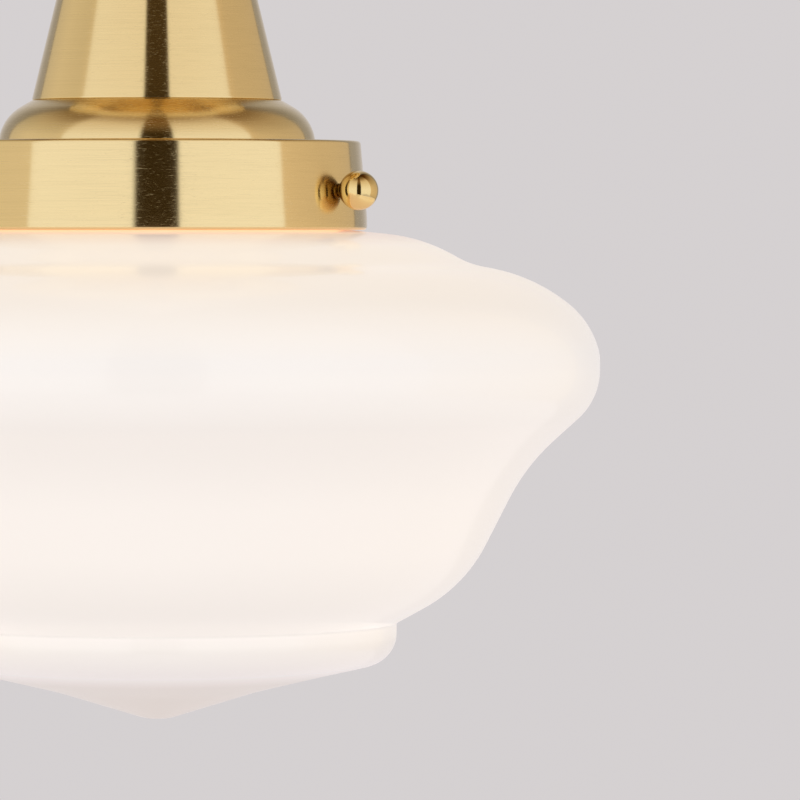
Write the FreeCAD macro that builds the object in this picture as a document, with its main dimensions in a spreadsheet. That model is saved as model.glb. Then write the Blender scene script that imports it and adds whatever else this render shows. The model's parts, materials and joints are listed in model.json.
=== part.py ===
import FreeCAD, Part
import math
import os
import re
import sys

import Sketcher

# Semi flush ceiling light with an opal glass schoolhouse shade.
# Frame: millimetres, +Z up, origin on the ceiling plane at the middle of the
# mounting strap. The front of the light, with two of its three thumb screws
# 60 degrees either side, looks along -Y. Everything hangs below Z = 0.

# Driving sizes, one spreadsheet cell each: name, millimetres (or degrees), what it is.
SIZES = [
    # ceiling group
    ("strap_arm_width", 20, "width of both arms of the mounting strap"),
    ("strap_sheet", 2, "thickness of the strap"),
    ("strap_corner_round", 3, "rounding of the strap's outer corners"),
    ("strap_inner_round", 2, "rounding where the two arms meet"),
    ("stud_arm_end", 6, "canopy stud to the end of its arm"),
    ("box_slot_offset", 39.7, "strap centre to the middle of each box screw slot"),
    ("box_arm_end", 12.3, "middle of a box screw slot to the end of its arm"),
    ("box_slot_long", 14.4, "end to end length of a box screw slot"),
    ("box_slot_wide", 4.8, "width of a box screw slot"),
    ("supply_hole_radius", 7, "hole for the supply wires"),
    ("stud_offset", 32, "strap centre to each canopy stud"),
    ("stud_radius", 1.95, "outside of the stud thread"),
    ("stud_in_nut", 5.5, "stud past the face of the canopy, inside its cap nut"),
    ("stud_nut_radius", 4.04, "hexagon lock nut on the stud, across corners, halved"),
    ("stud_nut_high", 3.2, "height of the stud lock nut"),
    ("canopy_radius", 63.5, "rim of the canopy"),
    ("canopy_rim_high", 9, "straight band at the canopy rim"),
    ("canopy_step_radius", 58.5, "radius of the step above the canopy dome"),
    ("canopy_dome_round", 14, "rounding of the canopy dome"),
    ("canopy_deep", 25, "ceiling to the face of the canopy"),
    ("canopy_edge_round", 1.2, "rounding of the canopy rim's lower edge"),
    ("canopy_sheet", 1, "spun brass of the canopy"),
    ("cap_nut_collar_radius", 3.6, "collar of a ball shaped cap nut"),
    ("cap_nut_collar_high", 1.6, "height of that collar"),
    ("stud_end_gap", 1.5, "room past the end of the stud inside a cap nut"),
    ("ball_radius", 5.3, "ball of the cap nuts and of the thumb screws"),
    ("thread_gap", 0.05, "radial running gap of a thread that turns"),
    ("hole_gap", 0.45, "radial gap of a clearance hole round a screw"),
    ("ground_screw_offset", 14, "strap centre to the ground screw"),
    ("ground_head_radius", 3.8, "head of the ground screw"),
    ("ground_head_high", 2.6, "height of that head"),
    ("driver_slot", 0.9, "width and depth of its driver slot"),
    # stem and neck
    ("tube_radius", 5, "outside of the threaded centre tube"),
    ("tube_bore_radius", 3.5, "bore of the centre tube"),
    ("tube_above_face", 10, "tube end above the face of the canopy"),
    ("tight_gap", 0.02, "radial gap of a nut that stays put on the tube"),
    ("tube_hole_gap", 0.1, "radial gap of the sheet holes round the tube"),
    ("tube_nut_radius", 8.1, "hexagon nut on the tube, across corners, halved"),
    ("tube_nut_high", 4.5, "height of the tube nut"),
    ("tube_washer_radius", 9.5, "lock washer on the tube"),
    ("tube_washer_high", 1, "height of that washer"),
    ("ring_terminal_radius", 8, "ground ring on the tube"),
    ("ring_terminal_high", 0.8, "sheet of the ground ring"),
    ("ferrule_start", 11, "tube axis to the start of the ground ring's ferrule"),
    ("ferrule_long", 5, "length of that ferrule"),
    ("ferrule_wall", 0.6, "wall of that ferrule"),
    ("cone_top_radius", 20.8, "neck cone at the canopy"),
    ("cone_foot_radius", 34.1, "neck cone at its foot"),
    ("cone_high", 54.6, "height of the neck cone"),
    ("cone_top_round", 1.2, "rounding of the cone's upper edge"),
    ("cone_sheet", 1, "spun brass of the cone"),
    ("cushion_radius", 43.1, "foot of the cushion under the cone"),
    ("cushion_high", 11, "height of the cushion"),
    ("cushion_lean", 1, "foot of the cushion in to the turn of its outline"),
    ("cushion_turn_fall", 4.6, "foot of the cone to that turn"),
    ("cushion_round", 12.3, "rounding there"),
    ("cushion_sheet", 1, "spun brass of the cushion"),
    # shade holder and thumb screws
    ("fitter_gap", 3.6, "radial room between the shade's lip and the holder's top edge"),
    ("holder_flare", 1.8, "how much wider the holder is at its foot"),
    ("holder_high", 24.2, "height of the shade holder"),
    ("holder_lip_high", 3.3, "straight part at the foot of the holder"),
    ("holder_edge_round", 0.9, "rounding of the holder's top edge"),
    ("holder_sheet", 1, "spun brass of the holder"),
    ("screw_drop", 13.6, "top of the holder to the thumb screw axis"),
    ("screw_tip_gap", 0.25, "shade's groove to the tip of a thumb screw"),
    ("ball_stand_off", 5.73, "holder's wall to the middle of a thumb screw's ball"),
    ("screw_shank_radius", 1.95, "shank of the thumb screw"),
    ("screw_tip_chamfer", 0.5, "chamfer at the tip of the thumb screw"),
    ("bushing_radius", 4.5, "threaded bushing behind the holder wall"),
    ("bushing_high", 2.7, "length of the bushing inside the wall"),
    ("bushing_spigot_radius", 3, "spigot of the bushing riveted in the wall"),
    ("bushing_seat_gap", 0.58, "holder's inner face to the flat shoulder of the bushing"),
    ("bushing_spigot_high", 1.2, "length of that spigot"),
    # socket
    ("bracket_collar_radius", 8, "threaded collar of the socket bracket"),
    ("bracket_collar_high", 6, "height of that collar"),
    ("bracket_radius", 17, "disc of the socket bracket"),
    ("bracket_sheet", 1.5, "sheet of that disc"),
    ("bracket_screw_offset", 12.5, "axis to each bracket screw"),
    ("bracket_screw_radius", 1.5, "shank of a bracket screw"),
    ("bracket_screw_long", 8, "length of that shank under its head"),
    ("bracket_head_radius", 2.8, "head of a bracket screw"),
    ("bracket_head_high", 1.8, "height of that head"),
    ("socket_radius", 20, "porcelain of the socket"),
    ("socket_high", 35.3, "height of the porcelain"),
    ("socket_edge_round", 1.5, "rounding of the porcelain's edges"),
    ("wire_slot_wide", 8, "wire slot across the top of the porcelain"),
    ("wire_slot_deep", 5, "depth of that slot"),
    ("socket_roof", 8.8, "porcelain above the lamp cavity"),
    ("shell_radius", 14.1, "screw shell outside"),
    ("shell_sheet", 0.5, "sheet of the screw shell"),
    ("shell_high", 23.5, "height of the screw shell"),
    ("shell_top_hole", 6, "hole in the top of the screw shell"),
    ("shell_top_round", 1, "rounding of the screw shell's upper edge"),
    ("shell_gap", 0.1, "radial gap of the shell in the porcelain"),
    ("contact_wide", 5, "width of the centre contact spring"),
    ("contact_sheet", 0.4, "sheet of the centre contact spring"),
    ("contact_reach", 5, "half length of the centre contact spring"),
    ("contact_drop", 2.8, "how far the centre contact spring reaches down"),
    ("contact_bend_start", 1, "axis back to the start of the spring's slope"),
    ("contact_bend_end", 2, "axis on to the end of the spring's slope"),
    ("terminal_sheet", 0.8, "sheet of a terminal plate"),
    ("terminal_start", 7, "axis to the near end of a terminal plate"),
    ("terminal_long", 12, "length of a terminal plate"),
    ("terminal_wide", 7, "width of a terminal plate"),
    ("terminal_screw_offset", 14, "axis to each terminal screw"),
    ("terminal_screw_radius", 1.7, "shank of a terminal screw"),
    ("terminal_head_radius", 3.2, "head of a terminal screw"),
    ("terminal_head_high", 2, "height of that head"),
    ("terminal_screw_long", 3, "terminal screw below its plate"),
    # wiring
    ("lead_radius", 1.1, "insulated lead"),
    ("lead_offset", 1.3, "axis of the tube to each lead"),
    ("lead_low_bend", 3, "bend of a lead under the tube"),
    ("lead_top_bend", 4, "bend of a lead over the tube and of the ground lead"),
    ("lead_level", 9, "ceiling to the level part of the leads"),
    ("connector_start", 20, "axis to the open end of a wire connector"),
    ("connector_long", 18, "length of a wire connector"),
    ("connector_radius", 5, "open end of a wire connector"),
    ("connector_tip_radius", 3.5, "closed end of a wire connector"),
    ("connector_bore_deep", 10, "bore of a wire connector"),
    ("lead_end_gap", 0.5, "end of a lead short of the bottom of that bore"),
    ("ground_lead_reach", 23.5, "axis to the upright run of the ground lead"),
    ("ferrule_lift", 1.7, "canopy's inner face to the axis of the ferrule"),
    ("lead_in_ferrule", 1.5, "start of the ferrule to the end of the ground lead"),
    ("lead_strap_gap", 0.3, "underside of the strap to the ground lead"),
    # glass shade: each fall is the height from one turn of the outline down to the next,
    # and each inset is how far that turn lies inside the widest radius
    ("shade_top_gap", 0.4, "holder's inner face to the top of the shade"),
    ("shade_wall", 3.5, "opal glass wall"),
    ("lip_radius", 50.8, "fitter lip, a 4 inch fitter"),
    ("lip_high", 2.5, "straight part of the fitter lip"),
    ("groove_deep", 1.4, "lip in to the neck where the thumb screws hold it"),
    ("groove_fall", 7.2, "lip to the top of the neck's groove"),
    ("neck_fall", 12.8, "groove to the foot of the neck"),
    ("neck_foot_round", 3.5, "rounding at the foot of the neck"),
    ("shade_radius", 120.65, "widest part of the shade, 9.5 inch across"),
    ("shoulder_inset", 48.55, "where the first shoulder turns down"),
    ("shoulder_fall", 2.3, "neck to that turn"),
    ("shoulder_round", 47, "rounding there"),
    ("sag_inset", 35.55, "hollow between shoulder and bulge"),
    ("sag_fall", 7.2, "shoulder to the hollow"),
    ("sag_round", 21.3, "rounding there"),
    ("brow_inset", 18.05, "where the bulge begins to turn down"),
    ("brow_fall", 3.5, "hollow to that turn"),
    ("brow_round", 48, "rounding there"),
    ("cheek_inset", 3.15, "upper slope of the bulge"),
    ("cheek_fall", 11.5, "brow to that slope's turn"),
    ("cheek_round", 24.3, "rounding there"),
    ("nose_top_fall", 9.3, "cheek to the upper turn of the widest part"),
    ("nose_top_round", 13.9, "rounding there"),
    ("nose_high", 12.7, "upper turn to the lower turn of the widest part"),
    ("nose_low_round", 18.2, "rounding of the lower turn"),
    ("waist_inset", 19.75, "waist under the bulge"),
    ("waist_fall", 17.9, "nose to the waist"),
    ("waist_round", 54.5, "rounding there"),
    ("bowl_inset", 36.55, "turn of the lower bowl"),
    ("bowl_fall", 32.7, "waist to the bowl's turn"),
    ("bowl_round", 40.8, "rounding there"),
    ("ring_radius", 65.5, "ring under the bowl"),
    ("ring_top_fall", 10.25, "bowl's turn to the crease above the ring"),
    ("ring_top_round", 1.5, "rounding of that crease"),
    ("ring_high", 9.85, "height of the ring"),
    ("ring_round", 8.9, "rounding of the ring's lower edge"),
    ("crease_radius", 45.5, "faint crease under the ring"),
    ("crease_fall", 4.5, "ring to the crease"),
    ("cone_turn_radius", 27.9, "where the cone under the ring grows steeper"),
    ("cone_turn_fall", 4.2, "crease to that turn"),
    ("cone_turn_round", 70, "rounding there"),
    ("tip_radius", 3.2, "where the tip is rounded over"),
    ("tip_fall", 7.65, "cone's turn to the tip"),
    ("tip_round", 12, "rounding of the tip"),
    # lamp
    ("lamp_gap", 0.3, "centre contact spring to the lamp's contact"),
    ("lamp_contact_radius", 4.5, "solder contact of the lamp"),
    ("lamp_contact_high", 1, "height of that contact"),
    ("lamp_insulator_high", 3.2, "height of the black glass insulator"),
    ("lamp_insulator_radius", 8.9, "wide end of the insulator"),
    ("insulator_rim", 0.3, "insulator's flat rim round the contact"),
    ("cap_grip", 1, "screw cap's edge over the foot of the insulator"),
    ("cap_radius", 13.1, "screw cap of the lamp, 26 mm"),
    ("cap_sheet", 0.4, "sheet of the screw cap"),
    ("cap_high", 23.5, "height of the screw cap"),
    ("cap_shoulder_high", 1.8, "sloping top of the screw cap"),
    ("bulb_neck_radius", 12.6, "neck of the lamp glass"),
    ("bulb_neck_high", 34, "cap top to the point where the glass widens"),
    ("bulb_neck_round", 40, "rounding there"),
    ("bulb_radius", 30, "widest part of the lamp glass, 60 mm across"),
    ("bulb_cheek_high", 66, "lamp top to the turn above the round end"),
    ("bulb_cheek_round", 28, "rounding there"),
    ("bulb_end_round", 29.6, "rounding of the round end"),
    ("bulb_wall", 0.8, "lamp glass"),
    ("lamp_high", 106, "overall length of the lamp"),
    ("glass_in_cap", 11, "cap top to the open end of the glass"),
    ("stem_flare_radius", 11.6, "flare of the glass stem inside the lamp"),
    ("stem_flare_high", 1.5, "height of that flare's edge"),
    ("stem_radius", 4, "glass stem inside the lamp"),
    ("stem_taper_high", 6, "height of the flare"),
    ("stem_taper_round", 3, "rounding at the foot of the flare"),
    ("stem_end_round", 2, "rounding of the stem's end"),
    ("stem_high", 36, "length of the glass stem"),
    ("filament_half", 11, "half width of the filament"),
    ("filament_drop", 24, "stem end to the filament"),
    ("filament_radius", 0.6, "coiled filament and its carriers"),
    ("carrier_inset", 0.5, "side of the stem in to a carrier"),
    ("filament_end", 0.5, "filament past each carrier"),
]

document = FreeCAD.newDocument("CeilingLight")
sheet = document.addObject("Spreadsheet::Sheet", "Sizes")
for row, (alias, value, note) in enumerate(SIZES, start=1):
    sheet.set(f"A{row}", alias)
    sheet.set(f"B{row}", str(value))
    sheet.set(f"C{row}", note)
    sheet.setAlias(f"B{row}", alias)
document.recompute()

VECTOR = FreeCAD.Vector
UPRIGHT = FreeCAD.Rotation(VECTOR(1, 0, 0), 90)          # sketch X, Y onto the model's X, Z
FULL_LINE = 0.995                                        # share of a line that its roundings may take
ALIAS = re.compile(r"\b(" + "|".join(name for name, _, _ in SIZES) + r")\b")
subparts = {}

# Levels and reaches that several pieces share, as expressions of the driving sizes.
CANOPY_FACE = "-canopy_deep"
CANOPY_FLOOR = "(-canopy_deep + canopy_sheet)"
STUD_LONG = "(canopy_deep + stud_in_nut)"
CONE_FOOT = "(-canopy_deep - cone_high)"
HOLDER_TOP = "(-canopy_deep - cone_high - cushion_high)"
HOLDER_CEILING = f"({HOLDER_TOP} - holder_sheet)"
HOLDER_TOP_RADIUS = "(lip_radius + fitter_gap + holder_sheet)"
HOLDER_FOOT_RADIUS = f"({HOLDER_TOP_RADIUS} + holder_flare)"
WALL_REACH = f"({HOLDER_TOP_RADIUS} + holder_flare * screw_drop / (holder_high - holder_lip_high))"
BUSHING_SEAT = f"({WALL_REACH} - holder_sheet - bushing_seat_gap)"
GROOVE_RADIUS = "(lip_radius - groove_deep)"
SCREW_TIP = f"({GROOVE_RADIUS} + screw_tip_gap)"
SCREW_BALL = f"({WALL_REACH} + ball_stand_off)"
SCREW_LEVEL = f"({HOLDER_TOP} - screw_drop)"
SOCKET_TOP = f"({HOLDER_CEILING} - bracket_collar_high - bracket_sheet)"
SLOT_FLOOR = f"({SOCKET_TOP} - wire_slot_deep)"
CAVITY_ROOF = f"({SOCKET_TOP} - socket_roof)"
SHADE_TOP = f"({HOLDER_CEILING} - shade_top_gap)"
LAMP_TOP = f"({CAVITY_ROOF} - contact_drop - lamp_gap)"
INSULATOR_TOP = f"({LAMP_TOP} - lamp_contact_high)"
CAP_TOP = f"({INSULATOR_TOP} - lamp_insulator_high + cap_grip)"
TUBE_END = SOCKET_TOP


def cells(expression):
    """Write an expression of plain size names with the sheet's name before each."""
    return ALIAS.sub(r"Sizes.\1", str(expression))


def number(expression):
    """The present value of an expression of sizes."""
    value = sheet.evalExpression(cells(expression))
    return float(getattr(value, "Value", value))


def bind(thing, **expressions):
    """Bind properties of an object to expressions of sizes."""
    for name, expression in expressions.items():
        thing.setExpression(name, cells(expression))
    return thing


def place(thing, x="0", y="0", z="0", turn=None):
    """Turn an object, and bind its place to expressions of sizes."""
    if turn is not None:
        thing.Placement = FreeCAD.Placement(VECTOR(), turn)
    for letter, expression in zip("xyz", (x, y, z)):
        thing.setExpression(f"Placement.Base.{letter}", cells(expression))
    return thing


def keep(thing, node):
    """Give a finished sub-part its label, which names its file."""
    thing.Label = node
    subparts[node] = thing
    return thing


def cylinder(name, radius, high, x="0", y="0", z="0", turn=None):
    """A cylinder that stands on its place and rises along its own Z."""
    thing = document.addObject("Part::Cylinder", name)
    return place(bind(thing, Radius=radius, Height=high), x, y, z, turn)


def hexagon(name, radius, high, x="0", y="0", z="0"):
    """A hexagonal prism, with its radius across the corners."""
    thing = document.addObject("Part::Prism", name)
    thing.Polygon = 6
    return place(bind(thing, Circumradius=radius, Height=high), x, y, z)


def block(name, long, wide, high, x="0", y="0", z="0"):
    """A box with its low corner at its place."""
    thing = document.addObject("Part::Box", name)
    return place(bind(thing, Length=long, Width=wide, Height=high), x, y, z)


def ball(name, radius, x="0", y="0", z="0"):
    """A sphere."""
    return place(bind(document.addObject("Part::Sphere", name), Radius=radius), x, y, z)


def cut(name, base, *tools):
    """One solid less others."""
    thing = document.addObject("Part::Cut", name)
    thing.Base = base
    thing.Tool = tools[0] if len(tools) == 1 else fuse(name + "_tools", *tools)
    return thing


def fuse(name, *pieces):
    """Several solids joined in one."""
    thing = document.addObject("Part::MultiFuse", name)
    thing.Shapes = list(pieces)
    thing.Refine = True
    return thing


def group(name, *pieces):
    """Like pieces that stay separate solids in one node."""
    thing = document.addObject("Part::Compound", name)
    thing.Links = list(pieces)
    return thing


def pin_point(sketch, curve, end, across, up, tag):
    """Tie a point of a sketch to expressions for its two coordinates."""
    for kind, axis, expression in (("DistanceX", -2, across), ("DistanceY", -1, up)):
        value = number(expression)
        if expression == "0":
            sketch.addConstraint(Sketcher.Constraint("PointOnObject", curve, end, axis))
            continue
        index = sketch.addConstraint(Sketcher.Constraint(kind, -1, 1, curve, end, value))
        label = f"{tag}_{kind[-1].lower()}"
        sketch.renameConstraint(index, label)
        sketch.setExpression(f"Constraints.{label}", cells(expression))


def roundings(points, corners):
    """How far each rounding reaches along its two lines; two that share a line also fit on it."""
    count = len(points)
    trims = {}
    for i, corner in enumerate(corners):
        if len(corner) > 2:
            half = (points[i - 1] - points[i]).getAngle(points[(i + 1) % count] - points[i]) / 2
            trims[i] = number(corner[2]) / math.tan(half)
    fit = dict.fromkeys(trims, 1.0)
    for i in range(count):
        following = (i + 1) % count
        wanted = trims.get(i, 0) + trims.get(following, 0)
        share = FULL_LINE * points[i].distanceToPoint(points[following]) / max(wanted, 1e-9)
        for end in (i, following):
            if end in fit:
                fit[end] = min(fit[end], share)
    return {i: trims[i] * fit[i] for i in trims}


def draw(sketch, corners, closed=False):
    """Draw straight lines through corners, each (across, up) or (across, up, rounding).

    Without roundings every corner is tied to its expressions. An outline with roundings
    is worked out from the sizes, each arc tangent to its two lines, and held as it is:
    several of its lines are so close to parallel that tangent constraints don't solve.
    """
    points = [VECTOR(number(corner[0]), number(corner[1]), 0) for corner in corners]
    count = len(corners)
    starts, ends = list(points), list(points)
    for i, trim in roundings(points, corners).items():
        back = (points[i - 1] - points[i]).normalize()
        ahead = (points[(i + 1) % count] - points[i]).normalize()
        half = back.getAngle(ahead) / 2
        outward = (back + ahead).normalize()
        middle = points[i] + outward * (trim / math.cos(half) - trim * math.tan(half))
        ends[i], starts[i] = points[i] + back * trim, points[i] + ahead * trim
        sketch.addGeometry(Part.Arc(ends[i], middle, starts[i]))
    rounded = sketch.GeometryCount > 0
    sides = range(count if closed else count - 1)
    lines = [sketch.addGeometry(Part.LineSegment(starts[i], ends[(i + 1) % count])) for i in sides]
    if rounded:
        for curve in range(sketch.GeometryCount):
            sketch.addConstraint(Sketcher.Constraint("Block", curve))
        return sketch
    for i, corner in enumerate(corners):
        if i < len(lines):
            pin_point(sketch, lines[i], 1, corner[0], corner[1], f"corner{i}")
        else:
            pin_point(sketch, lines[-1], 2, corner[0], corner[1], f"corner{i}")
        if i < len(lines) and (closed or i > 0):
            sketch.addConstraint(Sketcher.Constraint("Coincident", lines[i - 1], 2, lines[i], 1))
    return sketch


def half_section(name, corners, closed):
    """A free sketch in the plane of the axis: across is the radius, up is the height."""
    sketch = document.addObject("Sketcher::SketchObject", name)
    sketch.Placement = FreeCAD.Placement(VECTOR(), UPRIGHT)
    return draw(sketch, corners, closed)


def revolve(name, source):
    """Turn a face once round the Z axis."""
    thing = document.addObject("Part::Revolution", name)
    thing.Source = source
    thing.Axis = VECTOR(0, 0, 1)
    thing.Base = VECTOR()
    thing.Angle = 360
    thing.Solid = True
    return thing


def turned(name, corners):
    """A solid turned from a closed half section."""
    return revolve(name, half_section(name + "_section", corners, True))


def spun(name, corners, wall):
    """A shell spun from sheet: its outer line, with the wall on the left of the way it runs."""
    line = half_section(name + "_line", corners, False)
    strip = document.addObject("Part::Offset2D", name + "_strip")
    strip.Source = line
    strip.Mode = "Skin"
    strip.Join = "Intersection"
    strip.Fill = True
    bind(strip, Value=wall)
    return revolve(name, strip)


def new_body(name):
    """A PartDesign body and its origin planes by role."""
    body = document.addObject("PartDesign::Body", name)
    planes = {feature.Role: feature for feature in body.Origin.OriginFeatures}
    return body, planes


def body_sketch(body, plane, name, lift=None):
    """A sketch on one of a body's own origin planes."""
    sketch = body.newObject("Sketcher::SketchObject", name)
    sketch.AttachmentSupport = [(plane, "")]
    sketch.MapMode = "FlatFace"
    if lift is not None:
        sketch.setExpression("AttachmentOffset.Base.z", cells(lift))
    return sketch


def pad(body, sketch, name, high, middle=False, down=False):
    """Pad a body's sketch."""
    feature = body.newObject("PartDesign::Pad", name)
    feature.Profile = sketch
    feature.Midplane = middle
    feature.Reversed = down
    bind(feature, Length=high)
    sketch.Visibility = False
    return feature


def pocket(body, sketch, name, deep, up=False):
    """Pocket a body's sketch, downwards unless up is set."""
    feature = body.newObject("PartDesign::Pocket", name)
    feature.Profile = sketch
    feature.Reversed = up
    bind(feature, Length=deep)
    return feature


def circle(sketch, radius, x="0", y="0"):
    """A circle tied to its centre and radius."""
    tag = f"circle{sketch.GeometryCount}"
    centre = VECTOR(number(x), number(y), 0)
    curve = sketch.addGeometry(Part.Circle(centre, VECTOR(0, 0, 1), number(radius)))
    pin_point(sketch, curve, 3, x, y, tag)
    index = sketch.addConstraint(Sketcher.Constraint("Radius", curve, number(radius)))
    sketch.renameConstraint(index, tag + "_r")
    sketch.setExpression(f"Constraints.{tag}_r", cells(radius))


def rectangle(sketch, left, right, low, high):
    """A rectangle tied to its four sides."""
    draw(sketch, [(left, low), (right, low), (right, high), (left, high)], closed=True)


def wire_lead(node, route, radius):
    """A round lead swept along a route of (across, up, bend) points in the body's YZ plane."""
    body, planes = new_body(node + "_body")
    path = body_sketch(body, planes["YZ_Plane"], node + "_path")
    draw(path, route)
    start = body_sketch(body, planes["XZ_Plane"], node + "_end")
    start.setExpression("AttachmentOffset.Base.z", cells(f"-({route[0][0]})"))
    circle(start, radius, "0", route[0][1])
    lead = body.newObject("PartDesign::AdditivePipe", node + "_pipe")
    lead.Profile = start
    lead.Spine = (path, [])
    return body


# ---------------------------------------------------------------- ceiling group

def make_mounting_strap():
    """A cross of steel strip: slots for the ceiling box on Y, threaded stud holes on X."""
    body, planes = new_body("StrapBody")
    half, minus = "strap_arm_width / 2", "-strap_arm_width / 2"
    stud_end, box_end = "(stud_offset + stud_arm_end)", "(box_slot_offset + box_arm_end)"
    outer, inner = "strap_corner_round", "strap_inner_round"
    outline = body_sketch(body, planes["XY_Plane"], "StrapOutline")
    draw(outline, [
        (stud_end, minus, outer), (stud_end, half, outer), (half, half, inner),
        (half, box_end, outer), (minus, box_end, outer), (minus, half, inner),
        (f"-{stud_end}", half, outer), (f"-{stud_end}", minus, outer), (minus, minus, inner),
        (minus, f"-{box_end}", outer), (half, f"-{box_end}", outer), (half, minus, inner),
    ], closed=True)
    pad(body, outline, "StrapPlate", "strap_sheet", down=True)
    holes = body_sketch(body, planes["XY_Plane"], "StrapHoles")
    circle(holes, "supply_hole_radius")
    circle(holes, "stud_radius + tight_gap", "stud_offset")
    circle(holes, "stud_radius + tight_gap", "-stud_offset")
    circle(holes, "stud_radius + tight_gap", "ground_screw_offset")
    pocket(body, holes, "StrapDrilled", "strap_sheet")
    for side in ("", "-"):
        name = "BoxSlot" + ("Back" if side == "" else "Front")
        reach = "(box_slot_long - box_slot_wide) / 2"
        slot = body_sketch(body, planes["XY_Plane"], name)
        rectangle(slot, "-box_slot_wide / 2", "box_slot_wide / 2",
                  f"{side}box_slot_offset - {reach}", f"{side}box_slot_offset + {reach}")
        pocket(body, slot, name + "Cut", "strap_sheet")
        for end, sign in (("Near", "-"), ("Far", "+")):
            round_end = body_sketch(body, planes["XY_Plane"], name + end)
            circle(round_end, "box_slot_wide / 2", "0", f"{side}box_slot_offset {sign} {reach}")
            pocket(body, round_end, name + end + "Cut", "strap_sheet")
    keep(body, "mounting_strap")


def make_canopy_fixings():
    """Studs, their lock nuts, the ball shaped cap nuts and the ground screw."""
    studs, nuts = [], []
    for name, x in (("Right", "stud_offset"), ("Left", "-stud_offset")):
        studs.append(cylinder("Stud" + name, "stud_radius", STUD_LONG, x=x, z=f"-{STUD_LONG}"))
        nut = hexagon("StudNut" + name, "stud_nut_radius", "stud_nut_high",
                      x=x, z="-strap_sheet - stud_nut_high")
        bore = cylinder("StudNutBore" + name, "stud_radius + tight_gap", "stud_nut_high",
                        x=x, z="-strap_sheet - stud_nut_high")
        nuts.append(cut("StudNutCut" + name, nut, bore))
        cap_nut = make_cap_nut(name)
        place(cap_nut, x=x, z=CANOPY_FACE)
        keep(cap_nut, "canopy_cap_nut_" + name.lower())
    keep(group("Studs", *studs), "canopy_studs")
    keep(group("StudNuts", *nuts), "stud_lock_nuts")
    shank = cylinder("GroundShank", "stud_radius", "strap_sheet",
                     x="ground_screw_offset", z="-strap_sheet")
    head = cylinder("GroundHead", "ground_head_radius", "ground_head_high",
                    x="ground_screw_offset", z="-strap_sheet - ground_head_high")
    slot = block("GroundSlot", "2 * ground_head_radius", "driver_slot", "driver_slot",
                 x="ground_screw_offset - ground_head_radius", y="-driver_slot / 2",
                 z="-strap_sheet - ground_head_high")
    keep(cut("GroundScrew", fuse("GroundScrewSolid", shank, head), slot), "ground_screw")


def make_cap_nut(name):
    """A ball on a short collar, with a blind bore for the stud, hanging from its place."""
    sunk = "sqrt(ball_radius ^ 2 - cap_nut_collar_radius ^ 2)"
    collar = cylinder("CapCollar" + name, "cap_nut_collar_radius",
                      f"cap_nut_collar_high + {sunk}", z=f"-cap_nut_collar_high - {sunk}")
    head = ball("CapBall" + name, "ball_radius", z=f"-cap_nut_collar_high - {sunk}")
    deep = "(stud_in_nut + stud_end_gap)"
    bore = cylinder("CapBore" + name, "stud_radius + thread_gap", deep, z=f"-{deep}")
    return cut("CapNut" + name, fuse("CapNutSolid" + name, collar, head), bore)


def make_canopy():
    """The spun brass cover at the ceiling: a band, a step, a dome and a flat face."""
    shell = spun("CanopyShell", [
        ("tube_radius + tube_hole_gap", CANOPY_FACE),
        ("canopy_step_radius", CANOPY_FACE, "canopy_dome_round"),
        ("canopy_step_radius", "-canopy_rim_high"),
        ("canopy_radius", "-canopy_rim_high", "canopy_edge_round"),
        ("canopy_radius", "0"),
    ], "canopy_sheet")
    holes = [cylinder("CanopyStudHole" + name, "stud_radius + hole_gap", "3 * canopy_sheet",
                      x=x, z="-canopy_deep - canopy_sheet")
             for name, x in (("Right", "stud_offset"), ("Left", "-stud_offset"))]
    keep(cut("Canopy", shell, *holes), "canopy")


# ---------------------------------------------------------------- stem and neck

def ring(name, outer, inner, high, z):
    """A flat ring with its lower face at a height."""
    return cut(name, cylinder(name + "Disc", outer, high, z=z),
               cylinder(name + "Hole", inner, high, z=z))


def make_centre_tube():
    """The threaded tube that clamps canopy, cone, cushion and holder together."""
    high = f"tube_above_face - canopy_deep - {TUBE_END}"
    keep(ring("CentreTube", "tube_radius", "tube_bore_radius", high, TUBE_END), "centre_tube")
    disc = cylinder("RingTerminalDisc", "ring_terminal_radius", "ring_terminal_high", z=CANOPY_FLOOR)
    axis_up = f"{CANOPY_FLOOR} + ferrule_lift"
    tongue = block("RingTerminalTongue", "ferrule_start + ferrule_wall", "2 * ferrule_lift",
                   "ring_terminal_high", y="-ferrule_lift", z=CANOPY_FLOOR)
    along = FreeCAD.Rotation(VECTOR(0, 1, 0), 90)
    barrel = cylinder("RingTerminalBarrel", "ferrule_lift", "ferrule_long",
                      x="ferrule_start", z=axis_up, turn=along)
    bore = cylinder("RingTerminalBore", "lead_radius + tight_gap", "ferrule_long",
                    x="ferrule_start", z=axis_up, turn=along)
    hole = cylinder("RingTerminalHole", "tube_radius + tight_gap", "2 * ring_terminal_high",
                    z=CANOPY_FLOOR)
    keep(cut("RingTerminal", fuse("RingTerminalSolid", disc, tongue, barrel), bore, hole),
         "ground_ring_terminal")
    washer = f"{CANOPY_FLOOR} + ring_terminal_high"
    keep(ring("TubeWasher", "tube_washer_radius", "tube_radius + tight_gap",
              "tube_washer_high", washer), "tube_lock_washer")
    seat = f"{washer} + tube_washer_high"
    nut = cut("TubeNut", hexagon("TubeNutPrism", "tube_nut_radius", "tube_nut_high", z=seat),
              cylinder("TubeNutBore", "tube_radius + tight_gap", "tube_nut_high", z=seat))
    keep(nut, "tube_nut")


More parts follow.
